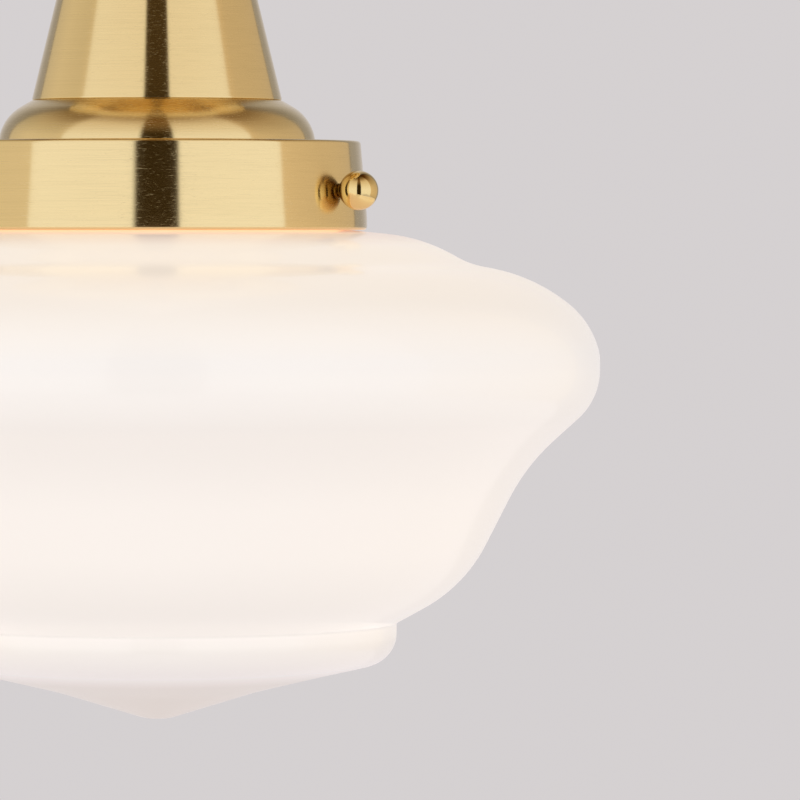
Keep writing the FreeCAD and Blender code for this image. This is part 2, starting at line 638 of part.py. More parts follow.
def make_neck():
    """The cone that hangs from the canopy, and the cushion at its foot."""
    hole = "tube_radius + tube_hole_gap"
    slope = "(cone_foot_radius - cone_top_radius) / cone_high"
    keep(spun("NeckCone", [
        ("cone_foot_radius", f"{CONE_FOOT} + cone_sheet * {slope}"),
        ("cone_top_radius", CANOPY_FACE, "cone_top_round"),
        (hole, CANOPY_FACE),
    ], "cone_sheet"), "neck_cone")
    lean = "cushion_lean / (cushion_high - cushion_turn_fall)"
    keep(spun("Cushion", [
        ("cushion_radius", f"{HOLDER_TOP} + cushion_sheet * {lean}"),
        ("cushion_radius - cushion_lean", f"{CONE_FOOT} - cushion_turn_fall", "cushion_round"),
        ("cone_foot_radius", CONE_FOOT),
        (hole, CONE_FOOT),
    ], "cushion_sheet"), "neck_cushion")


# ---------------------------------------------------------------- shade holder

SCREW_PLACES = {"right": -30, "left": 210, "back": 90}      # degrees from +X, seen from above


def make_holder():
    """The band that takes the neck of the shade, with three riveted bushings."""
    shell = spun("HolderShell", [
        (HOLDER_FOOT_RADIUS, f"{HOLDER_TOP} - holder_high"),
        (HOLDER_FOOT_RADIUS, f"{HOLDER_TOP} - holder_high + holder_lip_high"),
        (HOLDER_TOP_RADIUS, HOLDER_TOP, "holder_edge_round"),
        ("tube_radius + tube_hole_gap", HOLDER_TOP),
    ], "holder_sheet")
    holes, bushings = [], []
    for name, angle in SCREW_PLACES.items():
        holes.append(radial("HolderHole_" + name, "bushing_spigot_radius", BUSHING_SEAT,
                            f"{HOLDER_FOOT_RADIUS} - {BUSHING_SEAT} + holder_sheet", angle))
        inner_end = f"{BUSHING_SEAT} - bushing_high"
        shoulder = radial("BushingBody_" + name, "bushing_radius", inner_end, "bushing_high", angle)
        spigot = radial("BushingSpigot_" + name, "bushing_spigot_radius - tight_gap",
                        inner_end, "bushing_high + bushing_spigot_high", angle)
        bore = radial("BushingBore_" + name, "screw_shank_radius + thread_gap",
                      inner_end, "2 * (bushing_high + bushing_spigot_high)", angle)
        bushings.append(cut("Bushing_" + name, fuse("BushingSolid_" + name, shoulder, spigot), bore))
        thumb_screw = make_thumb_screw(name)
        place_radial(thumb_screw, SCREW_TIP, angle)
        keep(thumb_screw, "thumb_screw_" + name)
    keep(cut("Holder", shell, *holes), "shade_holder")
    keep(group("Bushings", *bushings), "screw_bushings")


def place_radial(thing, reach, angle):
    """Point an object's Z outwards at an angle on the level of the thumb screws."""
    turn = FreeCAD.Rotation(VECTOR(0, 0, 1), angle) * FreeCAD.Rotation(VECTOR(0, 1, 0), 90)
    return place(thing, f"({reach}) * cos({angle} deg)", f"({reach}) * sin({angle} deg)",
                 SCREW_LEVEL, turn)


def radial(name, radius, reach, high, angle):
    """A cylinder that points outwards on the level of the thumb screws."""
    return place_radial(cylinder(name, radius, high), reach, angle)


def make_thumb_screw(name):
    """A shank with a chamfered tip and a polished ball, which stands close to the band."""
    ball_at = f"({SCREW_BALL} - {SCREW_TIP})"
    shank = turned("ScrewShank_" + name, [
        ("0", "0"), ("screw_shank_radius - screw_tip_chamfer", "0"),
        ("screw_shank_radius", "screw_tip_chamfer"), ("screw_shank_radius", ball_at), ("0", ball_at),
    ])
    head = ball("ScrewBall_" + name, "ball_radius", z=ball_at)
    return fuse("ThumbScrew_" + name, shank, head)


# ---------------------------------------------------------------- socket

def make_socket_bracket():
    """A disc with a threaded collar, which clamps the holder and carries the socket."""
    solid = fuse("BracketSolid",
                 cylinder("BracketCollar", "bracket_collar_radius", "bracket_collar_high",
                          z=f"{SOCKET_TOP} + bracket_sheet"),
                 cylinder("BracketDisc", "bracket_radius", "bracket_sheet", z=SOCKET_TOP))
    tools = [cylinder("BracketBore", "tube_radius + tight_gap",
                      "bracket_collar_high + bracket_sheet", z=SOCKET_TOP)]
    screws = []
    for name, x in (("Right", "bracket_screw_offset"), ("Left", "-bracket_screw_offset")):
        tools.append(cylinder("BracketHole" + name, "bracket_screw_radius + tube_hole_gap",
                              "bracket_sheet", x=x, z=SOCKET_TOP))
        under_head = f"{SOCKET_TOP} + bracket_sheet"
        shank = cylinder("BracketShank" + name, "bracket_screw_radius", "bracket_screw_long",
                         x=x, z=f"{under_head} - bracket_screw_long")
        head = cylinder("BracketHead" + name, "bracket_head_radius", "bracket_head_high",
                        x=x, z=under_head)
        screws.append(fuse("BracketScrew" + name, shank, head))
    keep(cut("Bracket", solid, *tools), "socket_bracket")
    keep(group("BracketScrews", *screws), "bracket_screws")


def make_socket_body():
    """The porcelain: a cylinder with a lamp cavity below and a wire slot across its top."""
    body, planes = new_body("PorcelainBody")
    section = body_sketch(body, planes["XZ_Plane"], "PorcelainSection")
    foot = f"{SOCKET_TOP} - socket_high"
    cavity = "shell_radius + shell_gap"
    draw(section, [
        ("0", SOCKET_TOP), ("0", CAVITY_ROOF), (cavity, CAVITY_ROOF), (cavity, foot),
        ("socket_radius", foot, "socket_edge_round"),
        ("socket_radius", SOCKET_TOP, "socket_edge_round"),
    ], closed=True)
    solid = body.newObject("PartDesign::Revolution", "PorcelainTurned")
    solid.Profile = section
    solid.ReferenceAxis = (section, ["V_Axis"])
    solid.Angle = 360
    slot = body_sketch(body, planes["XY_Plane"], "WireSlot", lift=SOCKET_TOP)
    rectangle(slot, "-wire_slot_wide / 2", "wire_slot_wide / 2", "-socket_radius", "socket_radius")
    pocket(body, slot, "WireSlotCut", "wire_slot_deep")
    holes = body_sketch(body, planes["XY_Plane"], "BracketScrewHoles", lift=SOCKET_TOP)
    for x in ("bracket_screw_offset", "-bracket_screw_offset"):
        circle(holes, "bracket_screw_radius + tight_gap", x)
    pocket(body, holes, "BracketScrewHolesCut", "bracket_screw_long")
    taps = body_sketch(body, planes["XY_Plane"], "TerminalScrewHoles", lift=SLOT_FLOOR)
    for y in ("terminal_screw_offset", "-terminal_screw_offset"):
        circle(taps, "terminal_screw_radius + tight_gap", "0", y)
    pocket(body, taps, "TerminalScrewHolesCut", "terminal_screw_long")
    keep(body, "socket_porcelain")


def make_socket_metal():
    """The screw shell, the centre contact spring, the terminal plates and their screws."""
    keep(spun("ScrewShell", [
        ("shell_radius", f"{CAVITY_ROOF} - shell_high"),
        ("shell_radius", CAVITY_ROOF, "shell_top_round"),
        ("shell_top_hole", CAVITY_ROOF),
    ], "shell_sheet"), "screw_shell")
    body, planes = new_body("ContactBody")
    side = body_sketch(body, planes["XZ_Plane"], "ContactSide")
    low = f"{CAVITY_ROOF} - contact_drop"
    draw(side, [
        ("-contact_reach", CAVITY_ROOF), ("-contact_bend_start", CAVITY_ROOF),
        ("contact_bend_end", f"{low} + contact_sheet"), ("contact_reach", f"{low} + contact_sheet"),
        ("contact_reach", low), ("contact_bend_end", low),
        ("-contact_bend_start", f"{CAVITY_ROOF} - contact_sheet"),
        ("-contact_reach", f"{CAVITY_ROOF} - contact_sheet"),
    ], closed=True)
    pad(body, side, "ContactStrip", "contact_wide", middle=True)
    keep(body, "centre_contact")
    plates = []
    for name, sign in (("line", ""), ("neutral", "-")):
        y = f"{sign}terminal_screw_offset"
        low_end = "terminal_start" if sign == "" else "-terminal_start - terminal_long"
        plate = block("TerminalPlate_" + name, "terminal_wide", "terminal_long", "terminal_sheet",
                      x="-terminal_wide / 2", y=low_end, z=SLOT_FLOOR)
        hole = cylinder("TerminalHole_" + name, "terminal_screw_radius + tight_gap",
                        "terminal_sheet", y=y, z=SLOT_FLOOR)
        plates.append(cut("Terminal_" + name, plate, hole))
        shank = cylinder("TerminalShank_" + name, "terminal_screw_radius",
                         "terminal_sheet + terminal_screw_long", y=y,
                         z=f"{SLOT_FLOOR} - terminal_screw_long")
        head = cylinder("TerminalHead_" + name, "terminal_head_radius", "terminal_head_high",
                        y=y, z=f"{SLOT_FLOOR} + terminal_sheet")
        keep(fuse("TerminalScrew_" + name, shank, head), "terminal_screw_" + name)
    keep(group("TerminalPlates", *plates), "terminal_plates")


# ---------------------------------------------------------------- wiring

def make_wiring():
    """Line and neutral leads from the socket through the tube to their connectors."""
    connectors = []
    low_level = f"{SLOT_FLOOR} + terminal_sheet + lead_radius"
    for name, sign in (("line", ""), ("neutral", "-")):
        minus = "-" if sign else ""
        route = [
            (f"{minus}(terminal_screw_offset - terminal_head_radius)", low_level),
            (f"{minus}lead_offset", low_level, "lead_low_bend"),
            (f"{minus}lead_offset", "-lead_level", "lead_top_bend"),
            (f"{minus}(connector_start + connector_bore_deep - lead_end_gap)", "-lead_level"),
        ]
        keep(wire_lead("Lead_" + name, route, "lead_radius"), "lead_" + name)
        turn = FreeCAD.Rotation(VECTOR(1, 0, 0), 90 if sign else -90)
        cone = document.addObject("Part::Cone", "ConnectorCone_" + name)
        bind(cone, Radius1="connector_radius", Radius2="connector_tip_radius", Height="connector_long")
        place(cone, y=f"{minus}connector_start", z="-lead_level", turn=turn)
        bore = cylinder("ConnectorBore_" + name, "lead_radius + tight_gap", "connector_bore_deep",
                        y=f"{minus}connector_start", z="-lead_level", turn=turn)
        connectors.append(cut("Connector_" + name, cone, bore))
    keep(group("Connectors", *connectors), "wire_connectors")
    rest = f"{CANOPY_FLOOR} + ferrule_lift"
    top = "-strap_sheet - lead_strap_gap - lead_radius"
    route = [
        ("ferrule_start + lead_in_ferrule", rest),
        ("ground_lead_reach", rest, "lead_top_bend"),
        ("ground_lead_reach", top, "lead_top_bend"),
        ("ground_screw_offset + ground_head_radius", top),
    ]
    lead = wire_lead("Lead_ground", route, "lead_radius")
    lead.Placement = FreeCAD.Placement(VECTOR(), FreeCAD.Rotation(VECTOR(0, 0, 1), -90))
    keep(lead, "lead_ground")


# ---------------------------------------------------------------- shade and lamp

def inset(turn):
    """Radius of a turn of the shade's outline that lies inside its widest part."""
    return f"shade_radius - {turn}_inset"


def make_shade():
    """The opal glass shade, from its fitter lip down to the rounded tip."""
    turns = [
        ("lip_radius", "0"),
        ("lip_radius", "lip_high"),
        (GROOVE_RADIUS, "groove_fall"),
        (GROOVE_RADIUS, "neck_fall", "neck_foot_round"),
        (inset("shoulder"), "shoulder_fall", "shoulder_round"),
        (inset("sag"), "sag_fall", "sag_round"),
        (inset("brow"), "brow_fall", "brow_round"),
        (inset("cheek"), "cheek_fall", "cheek_round"),
        ("shade_radius", "nose_top_fall", "nose_top_round"),
        ("shade_radius", "nose_high", "nose_low_round"),
        (inset("waist"), "waist_fall", "waist_round"),
        (inset("bowl"), "bowl_fall", "bowl_round"),
        ("ring_radius", "ring_top_fall", "ring_top_round"),
        ("ring_radius", "ring_high", "ring_round"),
        ("crease_radius", "crease_fall"),
        ("cone_turn_radius", "cone_turn_fall", "cone_turn_round"),
        ("tip_radius", "tip_fall", "tip_round"),
        ("0", "0"),
    ]
    level, outline = SHADE_TOP, []
    for radius, fall, *rounding in turns:
        level = f"{level} - {fall}"
        outline.append((radius, level, *rounding))
    keep(spun("Shade", outline[::-1], "shade_wall"), "glass_shade")


def make_lamp():
    """The lamp: contact, insulator, screw cap, frosted glass, stem and filament."""
    keep(cylinder("LampContact", "lamp_contact_radius", "lamp_contact_high", z=INSULATOR_TOP),
         "bulb_contact")
    keep(turned("LampInsulator", [
        ("0", INSULATOR_TOP), ("lamp_contact_radius + insulator_rim", INSULATOR_TOP),
        ("lamp_insulator_radius", CAP_TOP),
        ("lamp_insulator_radius", f"{INSULATOR_TOP} - lamp_insulator_high"),
        ("0", f"{INSULATOR_TOP} - lamp_insulator_high"),
    ]), "bulb_insulator")
    keep(spun("LampCap", [
        ("cap_radius", f"{CAP_TOP} - cap_high"),
        ("cap_radius", f"{CAP_TOP} - cap_shoulder_high"),
        ("lamp_insulator_radius + cap_sheet", CAP_TOP),
    ], "cap_sheet"), "bulb_cap")
    end = f"{LAMP_TOP} - lamp_high"
    glass_top = f"{CAP_TOP} - glass_in_cap"
    keep(spun("LampGlass", [
        ("0", end),
        ("bulb_radius", end, "bulb_end_round"),
        ("bulb_radius", f"{LAMP_TOP} - bulb_cheek_high", "bulb_cheek_round"),
        ("bulb_neck_radius", f"{CAP_TOP} - bulb_neck_high", "bulb_neck_round"),
        ("bulb_neck_radius", glass_top),
    ], "bulb_wall"), "bulb_glass")
    stem_end = f"{glass_top} - stem_high"
    keep(turned("LampStem", [
        ("0", glass_top), ("stem_flare_radius", glass_top),
        ("stem_flare_radius", f"{glass_top} - stem_flare_high"),
        ("stem_radius", f"{glass_top} - stem_taper_high", "stem_taper_round"),
        ("stem_radius", stem_end, "stem_end_round"), ("0", stem_end),
    ]), "bulb_stem")
    carriers = []
    start = "(stem_radius - filament_radius - carrier_inset)"
    lean = f"atan((filament_half - {start}) / filament_drop)"
    long = f"sqrt((filament_half - {start}) ^ 2 + filament_drop ^ 2)"
    for name, sign in (("Right", 1), ("Left", -1)):
        carrier = cylinder("Carrier" + name, "filament_radius", long)
        carrier.Placement.Rotation = FreeCAD.Rotation(VECTOR(0, 1, 0), 180)
        place(carrier, x=f"{sign} * {start}", z=stem_end)
        carrier.setExpression("Placement.Rotation.Angle", cells(f"180 deg - {sign} * {lean}"))
        carriers.append(carrier)
    wire = cylinder("FilamentWire", "filament_radius", "2 * (filament_half + filament_end)",
                    x="-filament_half - filament_end", z=f"{stem_end} - filament_drop",
                    turn=FreeCAD.Rotation(VECTOR(0, 1, 0), 90))
    keep(fuse("Filament", wire, *carriers), "bulb_filament")


def check_all():
    """Stop if any object failed or any sub-part isn't a valid solid."""
    faults = []
    for thing in document.Objects:
        if "Invalid" in thing.State or "Error" in thing.State:
            faults.append(f"{thing.Name}: {thing.State}")
    for node, thing in subparts.items():
        shape = thing.Shape
        if shape.isNull() or not shape.isValid() or not shape.Solids:
            faults.append(f"{node}: no valid solid")
    if faults:
        sys.exit("\n".join(faults))


def write_steps():
    """Write one STEP file for each sub-part."""
    os.makedirs("parts", exist_ok=True)
    for node, thing in subparts.items():
        thing.Shape.exportStep(f"parts/{node}.step")
        box = thing.Shape.BoundBox
        print(f"{node:24s} solids {len(thing.Shape.Solids)} volume {thing.Shape.Volume:10.1f}"
              f"  z {box.ZMin:8.2f} {box.ZMax:8.2f}")


def main():
    """Build every piece, check it and write it."""
    for make in (make_mounting_strap, make_canopy_fixings, make_canopy, make_centre_tube,
                 make_neck, make_holder, make_socket_bracket, make_socket_body,
                 make_socket_metal, make_wiring, make_shade, make_lamp):
        make()
        document.recompute()
    check_all()
    write_steps()


main()
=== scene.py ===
import json
import math

import bmesh
import bpy
from bpy.props import FloatProperty, FloatVectorProperty, IntProperty, PointerProperty
from bpy.types import Operator, Panel, PropertyGroup
from mathutils import Matrix, Vector


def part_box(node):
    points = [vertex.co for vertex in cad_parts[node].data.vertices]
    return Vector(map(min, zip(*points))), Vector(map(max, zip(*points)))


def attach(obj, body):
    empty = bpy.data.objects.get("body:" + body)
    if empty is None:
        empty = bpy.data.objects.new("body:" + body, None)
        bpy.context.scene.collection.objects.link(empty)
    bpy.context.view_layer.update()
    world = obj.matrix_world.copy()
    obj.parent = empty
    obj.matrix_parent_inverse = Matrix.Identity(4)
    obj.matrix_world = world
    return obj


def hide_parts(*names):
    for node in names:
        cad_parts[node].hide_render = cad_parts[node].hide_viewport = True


bl_info = {
    "name": "Semi Flush Ceiling Light",
    "version": (1, 0, 0),
    "blender": (4, 5, 0),
    "location": "3D View > Sidebar > Ceiling Light",
    "description": "Builds a brass semi flush ceiling light with an opal glass schoolhouse shade",
    "category": "Add Mesh",
}

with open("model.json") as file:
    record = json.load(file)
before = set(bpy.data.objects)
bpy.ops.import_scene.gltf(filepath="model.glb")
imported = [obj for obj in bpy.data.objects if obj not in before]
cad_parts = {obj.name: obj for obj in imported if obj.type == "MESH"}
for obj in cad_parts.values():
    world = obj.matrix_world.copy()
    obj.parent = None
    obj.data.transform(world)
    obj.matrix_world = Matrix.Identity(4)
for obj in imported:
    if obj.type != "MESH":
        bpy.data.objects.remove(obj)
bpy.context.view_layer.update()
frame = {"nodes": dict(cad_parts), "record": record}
MM = 0.001

# In millimetres: the hole for the centre tube, the holder's flat top over its foot, and how
# far each thumb screw's tip is from the axis.
TUBE_HOLE = 5.1
HOLDER_HIGH = 24.2
SCREW_TIP = 49.65
# In metres: seven turns of the lamp's thread to the inch, and the longest stretch between
# two points of an outline in sheet metal, in glass and in plastic.
LAMP_PITCH = 25.4 / 7 * MM
METAL_STRETCH, GLASS_STRETCH, PLASTIC_STRETCH = 0.006, 0.004, 0.002
# Degrees from +X round the axis to each thumb screw.
THUMB_SCREWS = {"right": -30, "left": 210, "back": 90}


def low(node):
    """Lowest corner of a CAD node at rest."""
    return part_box(node)[0]


def high(node):
    """Highest corner of a CAD node at rest."""
    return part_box(node)[1]


# ------------------------------------------------------------------ settings

def length(name, description, millimetres):
    """A length setting with its default in millimetres."""
    return FloatProperty(name=name, description=description, default=millimetres * MM,
                         unit="LENGTH", precision=5)


def colour(name, description, default):
    """A colour setting."""
    return FloatVectorProperty(name=name, description=description, subtype="COLOR",
                               min=0.0, max=1.0, default=default)


class ShadeSettings(PropertyGroup):
    """Sizes of the glass shade."""

    radius: length("Widest radius", "Radius of the widest part of the shade", 120.65)
    wall: length("Wall", "Thickness of the opal glass", 3.4)
    steps: IntProperty(name="Steps", description="Sides of the turned shade", default=224, min=24)


class MetalSettings(PropertyGroup):
    """Sizes and colours of the brass and steel pieces."""

    sheet: length("Sheet", "Thickness of the spun brass", 0.95)
    ball: length("Ball", "Radius of the balls of the thumb screws and cap nuts", 5.3)
    steps: IntProperty(name="Steps", description="Sides of the turned metal pieces", default=192,
                       min=24)
    brass: colour("Satin brass", "Colour of the brushed brass", (0.885, 0.712, 0.395))
    polished: colour("Polished brass", "Colour of the ball heads", (0.88, 0.68, 0.33))
    brushing: FloatProperty(name="Brushing", description="Strength of the brushed lines",
                            subtype="FACTOR", default=0.10, min=0.0, max=1.0)


class GlowSettings(PropertyGroup):
    """Colours of the lit opal glass, from the neck down."""

    glass: colour("Opal glass", "Colour of the glass itself", (0.60, 0.58, 0.555))
    neck: colour("Neck glow", "Glow of the glass inside the holder", (1.0, 0.44, 0.14))
    rim: colour("Rim glow", "Glow just under the holder", (0.55, 0.42, 0.37))
    shoulder: colour("Shoulder glow", "Glow of the shoulder", (0.66, 0.60, 0.54))
    nose: colour("Nose glow", "Glow of the widest part", (0.60, 0.58, 0.58))
    waist: colour("Waist glow", "Glow under the widest part", (0.69, 0.64, 0.61))
    ring: colour("Ring glow", "Glow of the ring", (0.59, 0.55, 0.53))
    lip: colour("Lip glow", "Glow of the lower edge of the ring", (0.65, 0.60, 0.60))
    tip: colour("Tip glow", "Glow of the cone under the ring", (0.50, 0.44, 0.415))


class StageSettings(PropertyGroup):
    """Camera, wall colour and floor."""

    wall: colour("Wall", "Colour behind the light", (0.665, 0.635, 0.640))
    camera_distance: length("Camera distance", "Camera to the light's axis", 1755)
    view_width: length("View width", "Width of the view at the light's axis", 218.2)
    view_right: length("View to the right", "Middle of the view, right of the light's axis", 66.2)
    view_down: length("View down", "Middle of the view, below the ceiling", 161.2)
    camera_down: length("Camera down", "Camera below the ceiling, level with the holder's foot", 114.8)
    floor_down: length("Floor down", "Floor below the ceiling mount", 1600)
    floor_half: length("Floor half", "Half the side of the square floor", 3000)


# ------------------------------------------------------------------ mesh helpers

def rounded(corners, turn=math.radians(3)):
    """Points along straight lines through (across, up[, rounding]) corners, with round arcs."""
    points = [Vector((c[0], c[1])) for c in corners]
    line = []
    for i, corner in enumerate(corners):
        here = points[i]
        if len(corner) < 3 or corner[2] <= 0 or i in (0, len(corners) - 1):
            line.append(here)
            continue
        back = (points[i - 1] - here).normalized()
        ahead = (points[i + 1] - here).normalized()
        half = back.angle(ahead) / 2
        middle = here + (back + ahead).normalized() * (corner[2] / math.sin(half))
        start = here + back * (corner[2] / math.tan(half)) - middle
        sweep = math.pi - 2 * half
        if back.cross(ahead) > 0:
            sweep = -sweep
        count = max(2, math.ceil(abs(sweep) / turn))
        for k in range(count + 1):
            angle = sweep * k / count
            line.append(middle + start @ Matrix.Rotation(-angle, 2))
    return line


def millimetres(*corners):
    """Corners given in millimetres, with their roundings, as a rounded line in metres."""
    return rounded([tuple(value * MM for value in corner) for corner in corners])


def refined(line, longest):
    """The same line with its long stretches divided."""
    out = [line[0]]
    for a, b in zip(line, line[1:]):
        count = max(1, math.ceil((b - a).length / longest))
        out += [a.lerp(b, k / count) for k in range(1, count + 1)]
    return out


def ball_arc(radius, middle, neck, down=False, steps=48):
    """Points along a ball from where its neck meets it to its far pole, up or down."""
    way = -1 if down else 1
    start = math.asin(neck / radius)
    return [Vector((radius * math.sin(a), middle - way * radius * math.cos(a)))
            for a in (start + (math.pi - start) * k / steps for k in range(steps + 1))]


def mark_creases(bm, angle=math.radians(32)):
    """Smooth every face, and keep the edges sharp that turn more than an angle."""
    for face in bm.faces:
        face.smooth = True
    for edge in bm.edges:
        if len(edge.link_faces) == 2 and edge.calc_face_angle(0) > angle:
            edge.smooth = False


def finish_mesh(bm, name, body, slot, *nodes):
    """Turn a bmesh into a piece that rides on a body and stands for its CAD nodes."""
    mark_creases(bm)
    mesh = bpy.data.meshes.new(name)
    bm.to_mesh(mesh)
    bm.free()
    piece = bpy.data.objects.new(name, mesh)
    bpy.context.scene.collection.objects.link(piece)
    piece.data.materials.append(material(slot))
    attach(piece, body)
    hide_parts(*nodes)


def lathe(line, steps, wall=0.0, closed=False):
    """Spin a line of (radius, height) points once round Z; a wall is added inside it."""
    bm = bmesh.new()
    verts = [bm.verts.new((p.x, 0.0, p.y)) for p in line]
    pairs = list(zip(verts, verts[1:]))
    if closed:
        pairs.append((verts[-1], verts[0]))
    edges = [bm.edges.new(pair) for pair in pairs]
    bmesh.ops.spin(bm, geom=verts + edges, cent=(0, 0, 0), axis=(0, 0, 1), dvec=(0, 0, 0),
                   angle=math.tau, steps=steps, use_merge=True, use_duplicate=False)
    bmesh.ops.remove_doubles(bm, verts=bm.verts[:], dist=1e-7)
    bmesh.ops.dissolve_degenerate(bm, edges=bm.edges[:], dist=1e-8)
    bmesh.ops.recalc_face_normals(bm, faces=bm.faces[:])
    if wall:
        bmesh.ops.solidify(bm, geom=bm.faces[:], thickness=wall)
    return bm


def moved(bm, x=0.0, y=0.0, z=0.0, turn=None):
    """Turn a bmesh, then shift it."""
    matrix = Matrix.Translation((x, y, z))
    if turn is not None:
        matrix = matrix @ turn
    bmesh.ops.transform(bm, matrix=matrix, verts=bm.verts[:])
    return bm


def joined(bm, *others):
    """Add other bmeshes to the first."""
    for other in others:
        mesh = bpy.data.meshes.new("part")
        other.to_mesh(mesh)
        other.free()
        bm.from_mesh(mesh)
        bpy.data.meshes.remove(mesh)
    return bm


def screw_thread(shape, pitch, foot, top, steps=32):
    """A thread swept up a helix and cut flat at both ends, where it is open.

    The shape is one turn's outline as (radius, share of the pitch) points.
    """
    bm = bmesh.new()
    verts = [bm.verts.new((radius, 0.0, foot + (share - 1.0) * pitch)) for radius, share in shape]
    edges = [bm.edges.new(pair) for pair in zip(verts, verts[1:])]
    bmesh.ops.spin(bm, geom=verts + edges, cent=(0, 0, 0), axis=(0, 0, 1),
                   dvec=(0, 0, pitch / steps), angle=math.tau, steps=steps,
                   use_merge=False, use_duplicate=False)
    turns = 1
    while turns < (top - foot) / pitch + 1:
        more = bmesh.ops.duplicate(bm, geom=bm.verts[:] + bm.edges[:] + bm.faces[:])["geom"]
        bmesh.ops.translate(bm, vec=(0, 0, turns * pitch),
                            verts=[v for v in more if isinstance(v, bmesh.types.BMVert)])
        turns *= 2
    bmesh.ops.remove_doubles(bm, verts=bm.verts[:], dist=1e-6)
    for level, way in ((foot, -1), (top, 1)):
        bmesh.ops.bisect_plane(bm, geom=bm.verts[:] + bm.edges[:] + bm.faces[:], dist=1e-7,
                               plane_co=(0, 0, level), plane_no=(0, 0, way), clear_outer=True)
    bmesh.ops.recalc_face_normals(bm, faces=bm.faces[:])
    return bm


def sharp_thread(crest, root):
    """The outline of a cut thread with a narrow flat crest."""
    return [(root, 0.0), (crest, 0.42), (crest, 0.58), (root, 1.0)]


def rolled_thread(crest, root):
    """The round wave of a thread rolled in thin sheet."""
    middle, swing = (crest + root) / 2, (crest - root) / 2
    return [(middle + swing * math.cos(math.tau * k / 12), k / 12) for k in range(13)]


def threaded_rod(crest, root, pitch, foot, top):
    """A threaded rod with flat ends."""
    bm = screw_thread(sharp_thread(crest, root), pitch, foot, top)
    bmesh.ops.holes_fill(bm, edges=[e for e in bm.edges if e.is_boundary], sides=0)
    bmesh.ops.recalc_face_normals(bm, faces=bm.faces[:])
    return bm


def hexagon_nut(across, bore, tall):
    """A hexagon nut with a round chamfer at both faces, standing on Z = 0."""
    flat = across * math.cos(math.pi / 6)
    land, lead, chamfer = flat * 0.96, tall * 0.08, tall * 0.14
    line = [Vector(p) for p in (
        (bore, lead), (bore + lead, 0), (land, 0), (across, chamfer), (across, tall - chamfer),
        (land, tall), (bore + lead, tall), (bore, tall - lead))]
    bm = lathe(line, steps=48, closed=True)
    for vert in bm.verts:
        if math.hypot(vert.co.x, vert.co.y) > across * 0.999:
            turn = math.atan2(vert.co.y, vert.co.x) % (math.pi / 3) - math.pi / 6
            vert.co.xy *= flat / (across * math.cos(turn))
    return bm


def slotted_screw(head, tall, shank, reach, slot):
    """A screw with a crowned head on Z = 0, a driver slot across it and its shank below.

    The slot is as wide as it is deep.
    """
    deck = tall - slot
    crown = rounded([(0.0, deck), (head, deck), (head, tall * 0.94, head * 0.22), (0.0, tall)])
    half = lathe(crown, steps=48)
    bmesh.ops.bisect_plane(half, geom=half.verts[:] + half.edges[:] + half.faces[:], dist=1e-7,
                           plane_co=(slot / 2, 0, 0), plane_no=(1, 0, 0), clear_inner=True)
    bmesh.ops.holes_fill(half, edges=[e for e in half.edges if e.is_boundary], sides=0)
    other = half.copy()
    moved(other, turn=Matrix.Rotation(math.pi, 4, "Z"))
    base = lathe([Vector(p) for p in ((0, deck), (head, deck), (head, 0), (0, 0))], steps=48)
    rod = threaded_rod(crest=shank, root=shank * 0.84, pitch=0.6 * MM, foot=-reach, top=0.0)
    return joined(base, half, other, rod)


# ------------------------------------------------------------------ material helpers

class Nodes:
    """A short way to write a node tree: each call adds a node and links its inputs."""

    def __init__(self, tree):
        self.tree = tree
        tree.nodes.clear()

    def add(self, kind, settings=None, **inputs):
        """Add a node with its settings and its inputs."""
        node = self.tree.nodes.new(kind)
        for name, value in (settings or {}).items():
            setattr(node, name, value)
        self.fill(node, **inputs)
        return node

    def fill(self, node, **inputs):
        """Give a node inputs by name, with _ for a space."""
        for name, value in inputs.items():
            self.put(node, name.replace("_", " "), value)

    def put(self, node, name, value):
        """Link a socket or a node to one input, or set its value."""
        socket = node.inputs[int(name)] if name.isdigit() else node.inputs[name]
        if isinstance(value, bpy.types.NodeSocket):
            self.tree.links.new(value, socket)
        elif isinstance(value, bpy.types.Node):
            self.tree.links.new(value.outputs[0], socket)
        else:
            socket.default_value = value

    def listed(self, kind, settings, *values):
        """Add a node and give it its first inputs in their order."""
        node = self.add(kind, settings)
        for i, value in enumerate(values):
            self.put(node, str(i), value)
        return node

    def math(self, operation, *values):
        """The result of a Math node."""
        return self.listed("ShaderNodeMath", {"operation": operation}, *values).outputs[0]

    def ramp(self, factor, stops):
        """A straight colour ramp through (place, tone) stops."""
        node = self.add("ShaderNodeValToRGB")
        elements = node.color_ramp.elements
        while len(elements) < len(stops):
            elements.new(0.5)
        for element, (place, tone) in zip(elements, stops):
            element.position = place
            element.color = (*tone, 1.0)
        self.put(node, "Fac", factor)
        return node.outputs["Color"]

    def noise(self, vector, scale, detail=2.0, rough=0.5):
        """Noise between 0 and 1."""
        return self.add("ShaderNodeTexNoise", Vector=vector, Scale=scale, Detail=detail,
                        Roughness=rough).outputs["Fac"]

    def bump(self, height, strength, distance):
        """A normal bumped by a height."""
        return self.add("ShaderNodeBump", Height=height, Strength=strength, Distance=distance)

    def mixed(self, blend, share, first, second):
        """Two colours mixed or multiplied."""
        node = self.add("ShaderNodeMix", {"data_type": "RGBA", "blend_type": blend})
        for name, value in (("0", share), ("6", first), ("7", second)):
            self.put(node, name, value)
        return node.outputs[2]


def new_material(name):
    """A material with an empty tree, a Principled shader and its output."""
    made = bpy.data.materials.new(name)
    made.use_nodes = True
    nodes = Nodes(made.node_tree)
    shader = nodes.add("ShaderNodeBsdfPrincipled")
    nodes.add("ShaderNodeOutputMaterial", Surface=shader)
    return made, nodes, shader


def object_place(nodes):
    """Object coordinates."""
    return nodes.add("ShaderNodeTexCoord").outputs["Object"]


